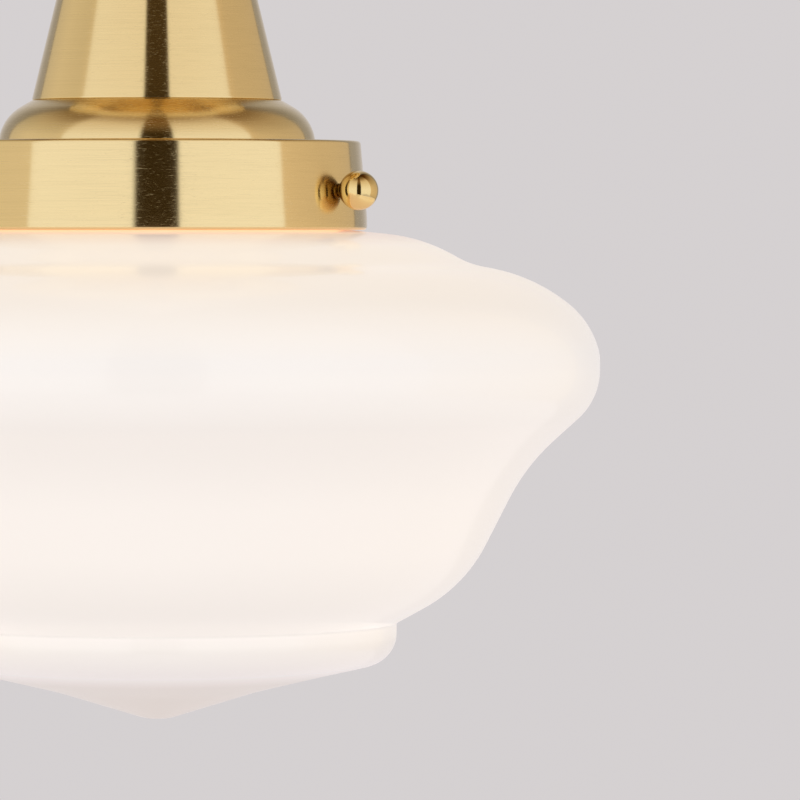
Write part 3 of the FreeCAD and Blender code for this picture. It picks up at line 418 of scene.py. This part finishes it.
def object_axes(nodes):
    """X, Y and Z of the object coordinates."""
    return nodes.add("ShaderNodeSeparateXYZ", Vector=object_place(nodes)).outputs[:3]


def axis_distance(nodes, x, y):
    """Distance from the light's axis."""
    return nodes.math("SQRT", nodes.math("ADD", nodes.math("MULTIPLY", x, x),
                                         nodes.math("MULTIPLY", y, y)))


def spun_coordinates(nodes, around, across):
    """Coordinates that run quickly across the turning marks and slowly along them."""
    x, y, z = object_axes(nodes)
    along = nodes.math("ADD", nodes.math("MULTIPLY", x, around),
                       nodes.math("MULTIPLY", y, around * 0.83))
    radius = axis_distance(nodes, x, y)
    return nodes.add("ShaderNodeCombineXYZ", X=along, Y=nodes.math("MULTIPLY", radius, across),
                     Z=nodes.math("MULTIPLY", z, across)).outputs[0]


def shade_of(tone, share):
    """A tone made darker or paler by a share."""
    return tuple(c * share for c in tone)


def satin_brass(tone, brushing):
    """Brass brushed in fine lines round the axis, with rougher scratches here and there."""
    made, nodes, shader = new_material("satin_brass")
    fine = nodes.noise(spun_coordinates(nodes, around=90.0, across=5200.0), 1.0, rough=0.6)
    coarse = nodes.noise(spun_coordinates(nodes, around=45.0, across=1300.0), 1.0)
    marks = nodes.noise(spun_coordinates(nodes, around=520.0, across=6500.0), 1.0, detail=3.0,
                        rough=0.7)
    scratches = nodes.ramp(marks, [(0.56, (0, 0, 0)), (0.74, (1, 1, 1))])
    cloud = nodes.noise(object_place(nodes), 22.0)
    lines = nodes.math("MULTIPLY_ADD", coarse, 0.40, fine)
    mottle = nodes.math("MULTIPLY_ADD", cloud, 0.22, nodes.math("MULTIPLY", lines, 0.56))
    tint = nodes.ramp(mottle, [(0.34, shade_of(tone, 0.93)), (0.50, tone),
                               (0.66, shade_of(tone, 1.03))])
    rough = nodes.math("MULTIPLY_ADD", scratches, 0.24,
                       nodes.math("MULTIPLY_ADD", fine, 0.07, 0.11))
    nodes.fill(shader, Base_Color=tint, Metallic=1.0, Roughness=rough,
               Anisotropic=nodes.math("MULTIPLY_ADD", scratches, -0.8, 1.0),
               Anisotropic_Rotation=0.25, Normal=nodes.bump(lines, brushing, 0.02 * MM),
               Tangent=nodes.add("ShaderNodeTangent", {"direction_type": "RADIAL", "axis": "Z"}))
    return made


def polished_brass(tone):
    """Brass polished to a mirror, with shade painted dark where a thumb screw goes into the holder."""
    made, nodes, shader = new_material("polished_brass")
    x, y, _ = object_axes(nodes)
    decimetres = nodes.math("MULTIPLY", axis_distance(nodes, x, y), 10.0)
    # Painted shade: the brass is darkened from 49 to 61 mm off the axis, where the screws' shanks and
    # the inner sides of their balls face the holder.
    bright, dark = (1, 1, 1), (0.20, 0.14, 0.06)
    painted_shade = nodes.ramp(decimetres, [(0.49, bright), (0.50, dark), (0.575, dark), (0.612, bright)])
    cloud = nodes.noise(object_place(nodes), 300.0, detail=3.0)
    tint = nodes.ramp(cloud, [(0.3, shade_of(tone, 0.96)), (0.7, tone)])
    nodes.fill(shader, Base_Color=nodes.mixed("MULTIPLY", 1.0, tint, painted_shade), Metallic=1.0,
               Roughness=nodes.math("MULTIPLY_ADD", cloud, 0.05, 0.05),
               Normal=nodes.bump(cloud, 0.02, 0.05 * MM))
    return made


def plain_metal(name, tone, rough):
    """Plated or bare small metal parts, slightly cloudy."""
    made, nodes, shader = new_material(name)
    place = object_place(nodes)
    cloud = nodes.noise(place, 140.0, detail=4.0, rough=0.6)
    spots = nodes.noise(place, 900.0)
    nodes.fill(shader, Base_Color=nodes.ramp(cloud, [(0.35, shade_of(tone, 0.80)), (0.65, tone)]),
               Metallic=1.0, Roughness=nodes.math("MULTIPLY_ADD", cloud, 0.20, rough - 0.1),
               Normal=nodes.bump(spots, 0.10, 0.05 * MM))
    return made


def moulded(name, tone, rough, grain):
    """Plastic, insulation, glaze or plain glass with a faint uneven surface."""
    made, nodes, shader = new_material(name)
    place = object_place(nodes)
    cloud = nodes.noise(place, 60.0, detail=3.0)
    fine = nodes.noise(place, 1200.0)
    nodes.fill(shader, Base_Color=nodes.ramp(cloud, [(0.3, shade_of(tone, 0.90)), (0.7, tone)]),
               Roughness=nodes.math("MULTIPLY_ADD", cloud, 0.10, rough),
               Normal=nodes.bump(fine, grain, 0.05 * MM))
    return made


def opal_glass(glow, top, bottom):
    """White opal glass, glossy outside and lit from within, warmer near the lamp."""
    made, nodes, shader = new_material("opal_glass")
    _, _, z = object_axes(nodes)
    down = nodes.add("ShaderNodeMapRange", {"clamp": True}, Value=z, From_Min=top, From_Max=bottom)
    # Millimetres down from the top of the shade, and the glow there.
    stops = [(21.6, glow.neck), (23.2, glow.rim), (26.8, glow.shoulder), (34.0, glow.shoulder),
             (56.0, glow.nose), (76.0, glow.waist), (126.0, glow.waist), (134.0, glow.ring),
             (140.5, glow.lip), (145.0, glow.tip)]
    tall = (top - bottom) / MM
    light = nodes.ramp(down.outputs[0], [(at / tall, tuple(tone)) for at, tone in stops])
    place = object_place(nodes)
    cloud = nodes.noise(place, 14.0)
    ripple = nodes.noise(place, 45.0)
    nodes.fill(shader, Base_Color=nodes.ramp(cloud, [(0.3, shade_of(glow.glass, 0.97)),
                                                     (0.7, tuple(glow.glass))]),
               Roughness=0.30, IOR=1.5, Specular_IOR_Level=0.20, Coat_Weight=0.4,
               Coat_Roughness=0.04, Emission_Color=light, Emission_Strength=1.0,
               Normal=nodes.bump(ripple, 0.03, 0.5 * MM))
    return made


def frosted_glass():
    """The lamp's frosted glass, brightly lit."""
    made, nodes, shader = new_material("frosted_glass")
    cloud = nodes.noise(object_place(nodes), 40.0)
    nodes.fill(shader, Roughness=0.45, Emission_Strength=0.9, Base_Color=nodes.ramp(
        cloud, [(0.3, (0.86, 0.84, 0.80)), (0.7, (0.92, 0.90, 0.86))]), Emission_Color=nodes.ramp(
        cloud, [(0.3, (1.0, 0.84, 0.62)), (0.7, (1.0, 0.88, 0.70))]))
    return made


# Colour and roughness of each plain metal; colour, roughness and grain of each moulded finish.
METALS = {
    "zinc_steel": ((0.60, 0.60, 0.57), 0.35),
    "green_screw": ((0.06, 0.30, 0.10), 0.35),
    "contact_brass": ((0.74, 0.55, 0.24), 0.28),
    "cap_aluminium": ((0.76, 0.75, 0.73), 0.30),
    "solder": ((0.55, 0.55, 0.54), 0.45),
    "filament_wire": ((0.40, 0.38, 0.35), 0.40),
}
MOULDED = {
    "porcelain": ((0.84, 0.82, 0.77), 0.18, 0.03),
    "black_glass": ((0.015, 0.015, 0.017), 0.10, 0.02),
    "clear_glass": ((0.80, 0.84, 0.84), 0.08, 0.02),
    "black_insulation": ((0.02, 0.02, 0.02), 0.35, 0.05),
    "white_insulation": ((0.78, 0.77, 0.74), 0.35, 0.05),
    "green_insulation": ((0.03, 0.26, 0.06), 0.35, 0.05),
    "connector_plastic": ((0.72, 0.25, 0.03), 0.42, 0.10),
}
MADE = {}


def make_material(slot):
    """Make the material of a slot."""
    scene = bpy.context.scene
    metal = scene.light_metal
    if slot in METALS:
        return plain_metal(slot, *METALS[slot])
    if slot in MOULDED:
        return moulded(slot, *MOULDED[slot])
    if slot == "satin_brass":
        return satin_brass(tuple(metal.brass), metal.brushing)
    if slot == "polished_brass":
        return polished_brass(tuple(metal.polished))
    if slot == "opal_glass":
        return opal_glass(scene.light_glow, high("glass_shade").z, low("glass_shade").z)
    if slot == "frosted_glass":
        return frosted_glass()
    raise ValueError("no finish for the slot " + slot)


def material(slot):
    """The material of a slot, made once."""
    if slot not in MADE:
        MADE[slot] = make_material(slot)
    return MADE[slot]


def dress_nodes():
    """Give every CAD node the material of its slot."""
    slots = {row["node"]: row["material_slot"] for row in frame["record"]["subparts"]}
    for node, thing in frame["nodes"].items():
        thing.data.materials.clear()
        thing.data.materials.append(material(slots[node]))


# ------------------------------------------------------------------ pieces

def shade_outline():
    """The outside of the shade, from the top of its lip down to the tip, in metres."""
    top, widest = high("glass_shade").z, bpy.context.scene.light_shade.radius / MM
    corners = [
        (50.8, 0.0), (50.8, 2.5, 1.0), (49.4, 9.7, 6.0), (49.4, 22.5, 3.5), (72.1, 24.8, 46.0),
        (85.1, 32.0, 21.3), (102.6, 35.5, 47.5), (117.5, 47.0, 24.3), (widest, 56.3, 13.9),
        (widest, 68.7, 18.0), (100.6, 86.9, 54.5), (83.9, 119.6, 40.5), (65.25, 129.85, 1.0),
        (65.25, 139.7, 8.8), (45.5, 144.2), (27.9, 148.4, 70.0), (3.2, 156.05, 12.0), (0.0, 156.05),
    ]
    return [(c[0] * MM, top - c[1] * MM, *[r * MM for r in c[2:]]) for c in corners]


class OBJECT_OT_light_shade(Operator):
    """Build the opal glass shade"""

    bl_idname = "object.light_shade"
    bl_label = "Glass shade"

    def execute(self, context):
        settings = context.scene.light_shade
        line = refined(rounded(shade_outline()), GLASS_STRETCH)
        finish_mesh(lathe(line, settings.steps, settings.wall), "opal_shade", "shade",
                    "opal_glass", "glass_shade")
        return {"FINISHED"}


class OBJECT_OT_light_neck(Operator):
    """Build the canopy, the neck cone and its cushion"""

    bl_idname = "object.light_neck"
    bl_label = "Canopy and neck"

    def execute(self, context):
        metal = context.scene.light_metal
        rim, face = high("canopy").x / MM, low("canopy").z / MM
        step, fold = rim - 5.0, -9.0
        canopy = [(rim, 0.0), (rim, fold, 1.2), (step, fold, 0.5), (step, face, 14.0),
                  (TUBE_HOLE, face)]
        gap = 0.02
        foot, top = low("neck_cone").z / MM, face - gap
        cone = [(TUBE_HOLE, top), (20.8, top, 1.2), (34.1, foot, 0.45), (33.2, foot)]
        seat = low("shade_holder").z / MM + HOLDER_HIGH + gap
        cushion = [(TUBE_HOLE, foot), (34.1, foot, 0.8), (42.1, foot - 4.6, 12.3), (43.1, seat)]
        for name, node, corners in (("spun_canopy", "canopy", canopy),
                                    ("spun_cone", "neck_cone", cone),
                                    ("spun_cushion", "neck_cushion", cushion)):
            line = refined(millimetres(*corners), METAL_STRETCH)
            finish_mesh(lathe(line, metal.steps, metal.sheet), name, "fixture", "satin_brass", node)
        return {"FINISHED"}


class OBJECT_OT_light_holder(Operator):
    """Build the shade holder band"""

    bl_idname = "object.light_holder"
    bl_label = "Shade holder"

    def execute(self, context):
        metal = context.scene.light_metal
        foot = low("shade_holder").z / MM
        top = foot + HOLDER_HIGH
        band = millimetres((TUBE_HOLE, top), (55.4, top, 0.9), (57.2, foot + 3.3, 30.0),
                           (57.2, foot, 0.9), (56.1, foot))
        finish_mesh(lathe(refined(band, METAL_STRETCH), metal.steps, metal.sheet), "spun_holder",
                    "fixture", "satin_brass", "shade_holder")
        return {"FINISHED"}


def outward(angle, reach, level):
    """A matrix that stands a piece made along Z outwards at an angle, its foot at a reach."""
    turn = Matrix.Rotation(math.radians(angle), 4, "Z")
    return turn @ Matrix.Translation((reach, 0, level)) @ Matrix.Rotation(math.radians(90), 4, "Y")


class OBJECT_OT_light_screws(Operator):
    """Build the three ball headed thumb screws"""

    bl_idname = "object.light_screws"
    bl_label = "Thumb screws"

    def execute(self, context):
        ball = context.scene.light_metal.ball
        level = (low("thumb_screw_back").z + high("thumb_screw_back").z) / 2
        tip, crest, root, neck = SCREW_TIP * MM, 1.95 * MM, 1.65 * MM, 2.15 * MM
        ball_at = high("thumb_screw_back").y - ball - tip
        ball_foot = ball_at - math.sqrt(ball ** 2 - neck ** 2)
        thread_end, collar_foot = ball_foot - 0.6 * MM, ball_foot - 0.2 * MM
        for name, angle in THUMB_SCREWS.items():
            bm = threaded_rod(crest, root, pitch=0.7 * MM, foot=0.0, top=thread_end)
            line = [Vector((0, thread_end)), Vector((crest, thread_end)),
                    Vector((neck, collar_foot))] + ball_arc(ball, ball_at, neck)
            joined(bm, lathe(line, steps=64))
            bmesh.ops.transform(bm, matrix=outward(angle, tip, level), verts=bm.verts[:])
            finish_mesh(bm, "ball_screw_" + name, "thumb_screw_" + name, "polished_brass",
                        "thumb_screw_" + name)
        return {"FINISHED"}


class OBJECT_OT_light_ceiling(Operator):
    """Build the studs, lock nuts, cap nuts, ground screw and wire connectors at the ceiling"""

    bl_idname = "object.light_ceiling"
    bl_label = "Ceiling fixings"

    def execute(self, context):
        ball = context.scene.light_metal.ball
        stud_at = high("canopy_cap_nut_right").x - ball
        stud_foot, face = low("canopy_studs").z, high("canopy_cap_nut_right").z
        studs, nuts = bmesh.new(), bmesh.new()
        for x in (stud_at, -stud_at):
            rod = threaded_rod(crest=1.95 * MM, root=1.6 * MM, pitch=0.8 * MM, foot=stud_foot,
                               top=0.0)
            joined(studs, moved(rod, x=x))
            nut = hexagon_nut(across=4.04 * MM, bore=1.97 * MM, tall=3.2 * MM)
            joined(nuts, moved(nut, x=x, z=-5.2 * MM))
        finish_mesh(studs, "threaded_studs", "fixture", "zinc_steel", "canopy_studs")
        finish_mesh(nuts, "lock_nuts", "fixture", "zinc_steel", "stud_lock_nuts")
        collar, collar_high = 3.6 * MM, 1.6 * MM
        middle = -collar_high - math.sqrt(ball ** 2 - collar ** 2)
        line = [Vector(p) * MM for p in ((0, -7), (2.0, -7), (2.0, 0), (3.3, 0), (3.6, -0.3))]
        line += ball_arc(ball, middle, collar, down=True)
        for side, x in (("right", stud_at), ("left", -stud_at)):
            finish_mesh(moved(lathe(line, steps=64), x=x, z=face), "ball_nut_" + side,
                        "cap_nut_" + side, "polished_brass", "canopy_cap_nut_" + side)
        screw = slotted_screw(head=3.8 * MM, tall=2.6 * MM, shank=1.95 * MM, reach=2.0 * MM,
                              slot=0.9 * MM)
        moved(screw, x=14 * MM, z=-2 * MM, turn=Matrix.Rotation(math.pi, 4, "X"))
        finish_mesh(screw, "slotted_ground_screw", "fixture", "green_screw", "ground_screw")
        caps = bmesh.new()
        for y, angle in ((20 * MM, -90), (-20 * MM, 90)):
            turn = Matrix.Rotation(math.radians(angle), 4, "X")
            joined(caps, moved(wire_cap(), y=y, z=-9 * MM, turn=turn))
        finish_mesh(caps, "ribbed_wire_caps", "fixture", "connector_plastic", "wire_connectors")
        return {"FINISHED"}


def wire_cap():
    """A twist-on wire cap with ribs, standing on its open end."""
    line = millimetres((0, 10), (1.12, 10), (1.12, 1.5), (3.2, 0), (4.7, 0), (5.0, 0.5, 0.3),
                       (4.85, 2.6), (4.65, 3.4), (3.65, 16.4), (3.4, 17.5, 0.6),
                       (2.4, 18, 0.5), (0, 18))
    ribs, depth = 12, 0.09
    bm = lathe(refined(line, PLASTIC_STRETCH), steps=72)
    for vert in bm.verts:
        across = math.hypot(vert.co.x, vert.co.y)
        if across > 3.2 * MM and 3.0 * MM < vert.co.z < 16.6 * MM:
            wave = 0.5 + 0.5 * math.cos(ribs * math.atan2(vert.co.y, vert.co.x))
            vert.co.xy *= 1.0 - depth * wave
    return bm


class OBJECT_OT_light_tube(Operator):
    """Build the threaded centre tube and its hexagon nut"""

    bl_idname = "object.light_tube"
    bl_label = "Centre tube"

    def execute(self, context):
        foot, top = low("centre_tube").z, high("centre_tube").z
        root, bore_radius = 4.5 * MM, 3.5 * MM
        bm = screw_thread(sharp_thread(crest=5.0 * MM, root=4.55 * MM), 0.94 * MM, foot, top)
        bore = lathe([Vector(p) for p in ((root, foot), (bore_radius, foot), (bore_radius, top),
                                          (root, top))], steps=32)
        outwards = [f for f in bore.faces if abs(f.normal.z) < 0.5
                    and f.normal.xy.dot(f.calc_center_median().xy) > 0]
        bmesh.ops.reverse_faces(bore, faces=outwards)
        joined(bm, bore)
        for level in (foot, top):
            ring = [e for e in bm.edges if e.is_boundary
                    and all(abs(v.co.z - level) < 1e-6 for v in e.verts)]
            bmesh.ops.bridge_loops(bm, edges=ring)
        bmesh.ops.recalc_face_normals(bm, faces=bm.faces[:])
        finish_mesh(bm, "threaded_tube", "fixture", "zinc_steel", "centre_tube")
        seat = low("tube_nut").z
        nut = hexagon_nut(across=8.1 * MM, bore=5.02 * MM, tall=high("tube_nut").z - seat)
        finish_mesh(moved(nut, z=seat), "hexagon_tube_nut", "fixture", "zinc_steel", "tube_nut")
        return {"FINISHED"}


class OBJECT_OT_light_socket(Operator):
    """Build the screws and the threaded shell of the lamp socket"""

    bl_idname = "object.light_socket"
    bl_label = "Socket"

    def execute(self, context):
        deck = high("socket_porcelain").z + 1.5 * MM
        pair = bmesh.new()
        for x in (12.5 * MM, -12.5 * MM):
            screw = slotted_screw(head=2.8 * MM, tall=1.8 * MM, shank=1.5 * MM, reach=8.0 * MM,
                                  slot=0.7 * MM)
            joined(pair, moved(screw, x=x, z=deck))
        finish_mesh(pair, "slotted_bracket_screws", "fixture", "zinc_steel", "bracket_screws")
        for name, slot in (("line", "contact_brass"), ("neutral", "zinc_steel")):
            node = "terminal_screw_" + name
            middle, seat = (low(node) + high(node)) / 2, high(node).z - 2.0 * MM
            screw = slotted_screw(head=3.2 * MM, tall=2.0 * MM, shank=1.7 * MM, reach=3.8 * MM,
                                  slot=0.8 * MM)
            finish_mesh(moved(screw, y=middle.y, z=seat), "slotted_" + node, "fixture", slot, node)
        top, foot = high("screw_shell").z, low("screw_shell").z
        wave = rolled_thread(crest=14.05 * MM, root=13.45 * MM)
        bm = screw_thread(wave, LAMP_PITCH, foot + 0.6 * MM, top - 1.2 * MM, steps=72)
        bmesh.ops.solidify(bm, geom=bm.faces[:], thickness=0.3 * MM)
        crown = rounded([(13.6 * MM, top - 1.4 * MM), (14.1 * MM, top, 1.0 * MM), (6.0 * MM, top)])
        lip = [Vector((13.6 * MM, foot)), Vector((13.9 * MM, foot + 0.8 * MM))]
        joined(bm, *(lathe(line, steps=96, wall=0.3 * MM) for line in (crown, lip)))
        finish_mesh(bm, "rolled_screw_shell", "fixture", "contact_brass", "screw_shell")
        return {"FINISHED"}


class OBJECT_OT_light_lamp(Operator):
    """Build the frosted lamp and its screw cap"""

    bl_idname = "object.light_lamp"
    bl_label = "Lamp"

    def execute(self, context):
        foot, top = low("bulb_cap").z, high("bulb_cap").z
        wave = rolled_thread(crest=13.1 * MM, root=12.4 * MM)
        bm = screw_thread(wave, LAMP_PITCH, foot + 1.2 * MM, top - 2.4 * MM, steps=72)
        skirt = rounded([(12.7 * MM, foot), (13.1 * MM, foot + 0.4 * MM),
                         (12.6 * MM, foot + 1.6 * MM)])
        shoulder = rounded([(12.4 * MM, top - 2.9 * MM), (12.7 * MM, top - 1.8 * MM, 0.6 * MM),
                            (9.2 * MM, top)])
        joined(bm, *(lathe(line, steps=96) for line in (skirt, shoulder)))
        bmesh.ops.solidify(bm, geom=bm.faces[:], thickness=0.25 * MM)
        finish_mesh(bm, "rolled_lamp_cap", "lamp", "cap_aluminium", "bulb_cap")
        end, neck = low("bulb_glass").z / MM, top / MM
        glass = millimetres((12.6, high("bulb_glass").z / MM), (12.6, neck - 34, 40),
                            (30, end + 40, 28), (30, end, 29.6), (0, end))
        bm = lathe(refined(glass, GLASS_STRETCH), steps=128, wall=0.75 * MM)
        finish_mesh(bm, "frosted_lamp_glass", "lamp", "frosted_glass", "bulb_glass")
        return {"FINISHED"}


class OBJECT_OT_light_stage(Operator):
    """Set the floor, the camera and the studio light"""

    bl_idname = "object.light_stage"
    bl_label = "Stage"

    def execute(self, context):
        scene = context.scene
        stage = scene.light_stage
        studio_world(tuple(stage.wall))
        camera = bpy.data.objects.new("camera", bpy.data.cameras.new("camera"))
        scene.collection.objects.link(camera)
        scene.camera = camera
        target = Vector((stage.view_right, 0.0, -stage.view_down))
        camera.location = (0.0, -stage.camera_distance, -stage.camera_down)
        camera.rotation_euler = (target - camera.location).to_track_quat("-Z", "Y").to_euler()
        camera.data.lens = camera.data.sensor_width * stage.camera_distance / stage.view_width
        camera.data.clip_end = 100.0
        bm = bmesh.new()
        bmesh.ops.create_grid(bm, x_segments=1, y_segments=1, size=stage.floor_half)
        bmesh.ops.translate(bm, verts=bm.verts[:], vec=(0, 0, -stage.floor_down))
        mesh = bpy.data.meshes.new("floor")
        bm.to_mesh(mesh)
        bm.free()
        floor = bpy.data.objects.new("floor", mesh)
        scene.collection.objects.link(floor)
        floor.data.materials.append(floor_material(tuple(stage.wall)))
        scene.view_settings.view_transform = "Standard"
        return {"FINISHED"}


def backdrop_rays(nodes, gloss=1.0):
    """1 for rays of the camera and of glass, which show the backdrop; gloss for a glossy one."""
    path = nodes.add("ShaderNodeLightPath").outputs
    rays = nodes.math("MULTIPLY_ADD", path["Is Glossy Ray"], gloss, path["Is Camera Ray"])
    return nodes.math("MINIMUM", nodes.math("ADD", rays, path["Is Transmission Ray"]), 1.0)


def floor_material(tone):
    """A plain pale floor that shows from above only; it keeps the shadow that falls on it."""
    made, nodes, shader = new_material("floor")
    nodes.fill(shader, Base_Color=(*shade_of(tone, 0.5), 1.0), Roughness=0.9)
    share = (0.77, 0.80, 0.835)
    lift = nodes.add("ShaderNodeEmission", Color=(*(c * k for c, k in zip(tone, share)), 1.0),
                     Strength=backdrop_rays(nodes))
    lit = nodes.listed("ShaderNodeAddShader", None, shader, lift)
    below = nodes.add("ShaderNodeNewGeometry").outputs["Backfacing"]
    clear = nodes.add("ShaderNodeBsdfTransparent")
    output = next(n for n in made.node_tree.nodes if n.type == "OUTPUT_MATERIAL")
    nodes.fill(output, Surface=nodes.listed("ShaderNodeMixShader", None, below, lit, clear))
    return made


def grey(value):
    """A grey tone."""
    return (value, value, value)


def studio_world(wall):
    """A plain pale backdrop, and two tall soft panels beside the camera with softer sides."""
    world = bpy.data.worlds.new("studio")
    bpy.context.scene.world = world
    world.use_nodes = True
    nodes = Nodes(world.node_tree)
    way = nodes.add("ShaderNodeTexCoord").outputs["Generated"]
    x, y, z = nodes.add("ShaderNodeSeparateXYZ", Vector=way).outputs
    towards = nodes.math("MULTIPLY", y, -1.0)
    azimuth = nodes.math("DIVIDE", nodes.math("ARCTAN2", x, towards), math.pi)
    aside = nodes.math("ABSOLUTE", azimuth)
    height = nodes.math("DIVIDE", nodes.math("ARCSINE", z), math.pi / 2)

    def by_azimuth(*stops):
        turn = nodes.math("MULTIPLY_ADD", azimuth, 0.5, 0.5)
        return nodes.ramp(turn, [(0.5 + degrees / 360, tone) for degrees, tone in stops])

    def by_height(*stops):
        rise = nodes.math("MULTIPLY_ADD", height, 0.5, 0.5)
        return nodes.ramp(rise, [(0.5 + degrees / 180, tone) for degrees, tone in stops])

    # Degrees round from the camera: the panels, the sides, a dark seam and the far wall.
    panel, left, right = grey(1.0), (0.78, 0.69, 0.55), (0.69, 0.57, 0.42)
    seam, far = (0.20, 0.15, 0.08), shade_of(wall, 0.56)
    around = by_azimuth(
        (-180, far), (-139.6, far), (-138.8, seam), (-137.8, shade_of(left, 0.82)), (-112, left),
        (-75.3, left), (-74.3, panel), (73.4, panel), (74.6, shade_of(right, 1.12)),
        (104, right), (137.8, shade_of(right, 0.88)), (138.8, seam), (139.6, far), (180, far))
    # The gap between the panels is dark, and paler towards the ceiling.
    between = by_azimuth((-13.4, grey(0)), (-11.6, panel), (11.0, panel), (12.8, grey(0)))
    gap = by_height((28, (0.030, 0.018, 0.004)), (46, (0.24, 0.17, 0.09)), (70, (0.50, 0.34, 0.17)))
    # Degrees up from level: how much light comes from in front and from the sides.
    front = by_height(
        (-90, grey(0.45)), (-40, grey(0.62)), (-14, panel), (8, panel), (27, (0.90, 0.85, 0.77)),
        (50, (0.74, 0.63, 0.49)), (66, (0.33, 0.22, 0.11)), (78, (0.12, 0.08, 0.035)),
        (90, (0.08, 0.05, 0.02)))
    sides = by_height(
        (-90, grey(0.45)), (-40, grey(0.62)), (-14, panel), (3, panel), (17, grey(0.92)),
        (27, (0.76, 0.75, 0.72)), (38, (0.66, 0.61, 0.54)), (52, (0.36, 0.28, 0.18)),
        (66, (0.13, 0.06, 0.015)), (90, (0.07, 0.035, 0.01)))
    to_side = nodes.ramp(aside, [(74 / 180, grey(0.0)), (84 / 180, grey(1.0))])
    room = nodes.mixed("MULTIPLY", 1.0, nodes.mixed("MIX", between, around, gap),
                       nodes.mixed("MIX", to_side, front, sides))
    # Gloss that sees the far side, away from the camera, shows the plain backdrop.
    behind = nodes.ramp(aside, [(150 / 180, grey(0.0)), (1.0, grey(1.0))])
    panels = nodes.add("ShaderNodeBackground", Color=room, Strength=1.0)
    plain = nodes.add("ShaderNodeBackground", Color=(*wall, 1.0), Strength=1.0)
    mix = nodes.listed("ShaderNodeMixShader", None, backdrop_rays(nodes, behind), panels, plain)
    nodes.add("ShaderNodeOutputWorld", Surface=mix)


class VIEW3D_PT_ceiling_light(Panel):
    """Lists the pieces of the light"""

    bl_idname = "VIEW3D_PT_ceiling_light"
    bl_label = "Ceiling Light"
    bl_space_type = "VIEW_3D"
    bl_region_type = "UI"
    bl_category = "Ceiling Light"

    def draw(self, context):
        for operator in OPERATORS:
            self.layout.operator(operator.bl_idname)


GROUPS = {"light_shade": ShadeSettings, "light_metal": MetalSettings, "light_glow": GlowSettings,
          "light_stage": StageSettings}
OPERATORS = (OBJECT_OT_light_shade, OBJECT_OT_light_neck, OBJECT_OT_light_holder,
             OBJECT_OT_light_screws, OBJECT_OT_light_ceiling, OBJECT_OT_light_tube,
             OBJECT_OT_light_socket, OBJECT_OT_light_lamp, OBJECT_OT_light_stage)


def register():
    """Register the settings, the operators and the panel."""
    for name, group in GROUPS.items():
        bpy.utils.register_class(group)
        setattr(bpy.types.Scene, name, PointerProperty(type=group))
    for operator in OPERATORS:
        bpy.utils.register_class(operator)
    bpy.utils.register_class(VIEW3D_PT_ceiling_light)


def unregister():
    """Take the panel, the operators and the settings out again."""
    bpy.utils.unregister_class(VIEW3D_PT_ceiling_light)
    for operator in reversed(OPERATORS):
        bpy.utils.unregister_class(operator)
    for name, group in GROUPS.items():
        delattr(bpy.types.Scene, name)
        bpy.utils.unregister_class(group)


def main():
    """Build every piece round the frame."""
    register()
    dress_nodes()
    for operator in OPERATORS:
        family, name = operator.bl_idname.split(".")
        getattr(getattr(bpy.ops, family), name)()


if __name__ == "__main__":
    main()
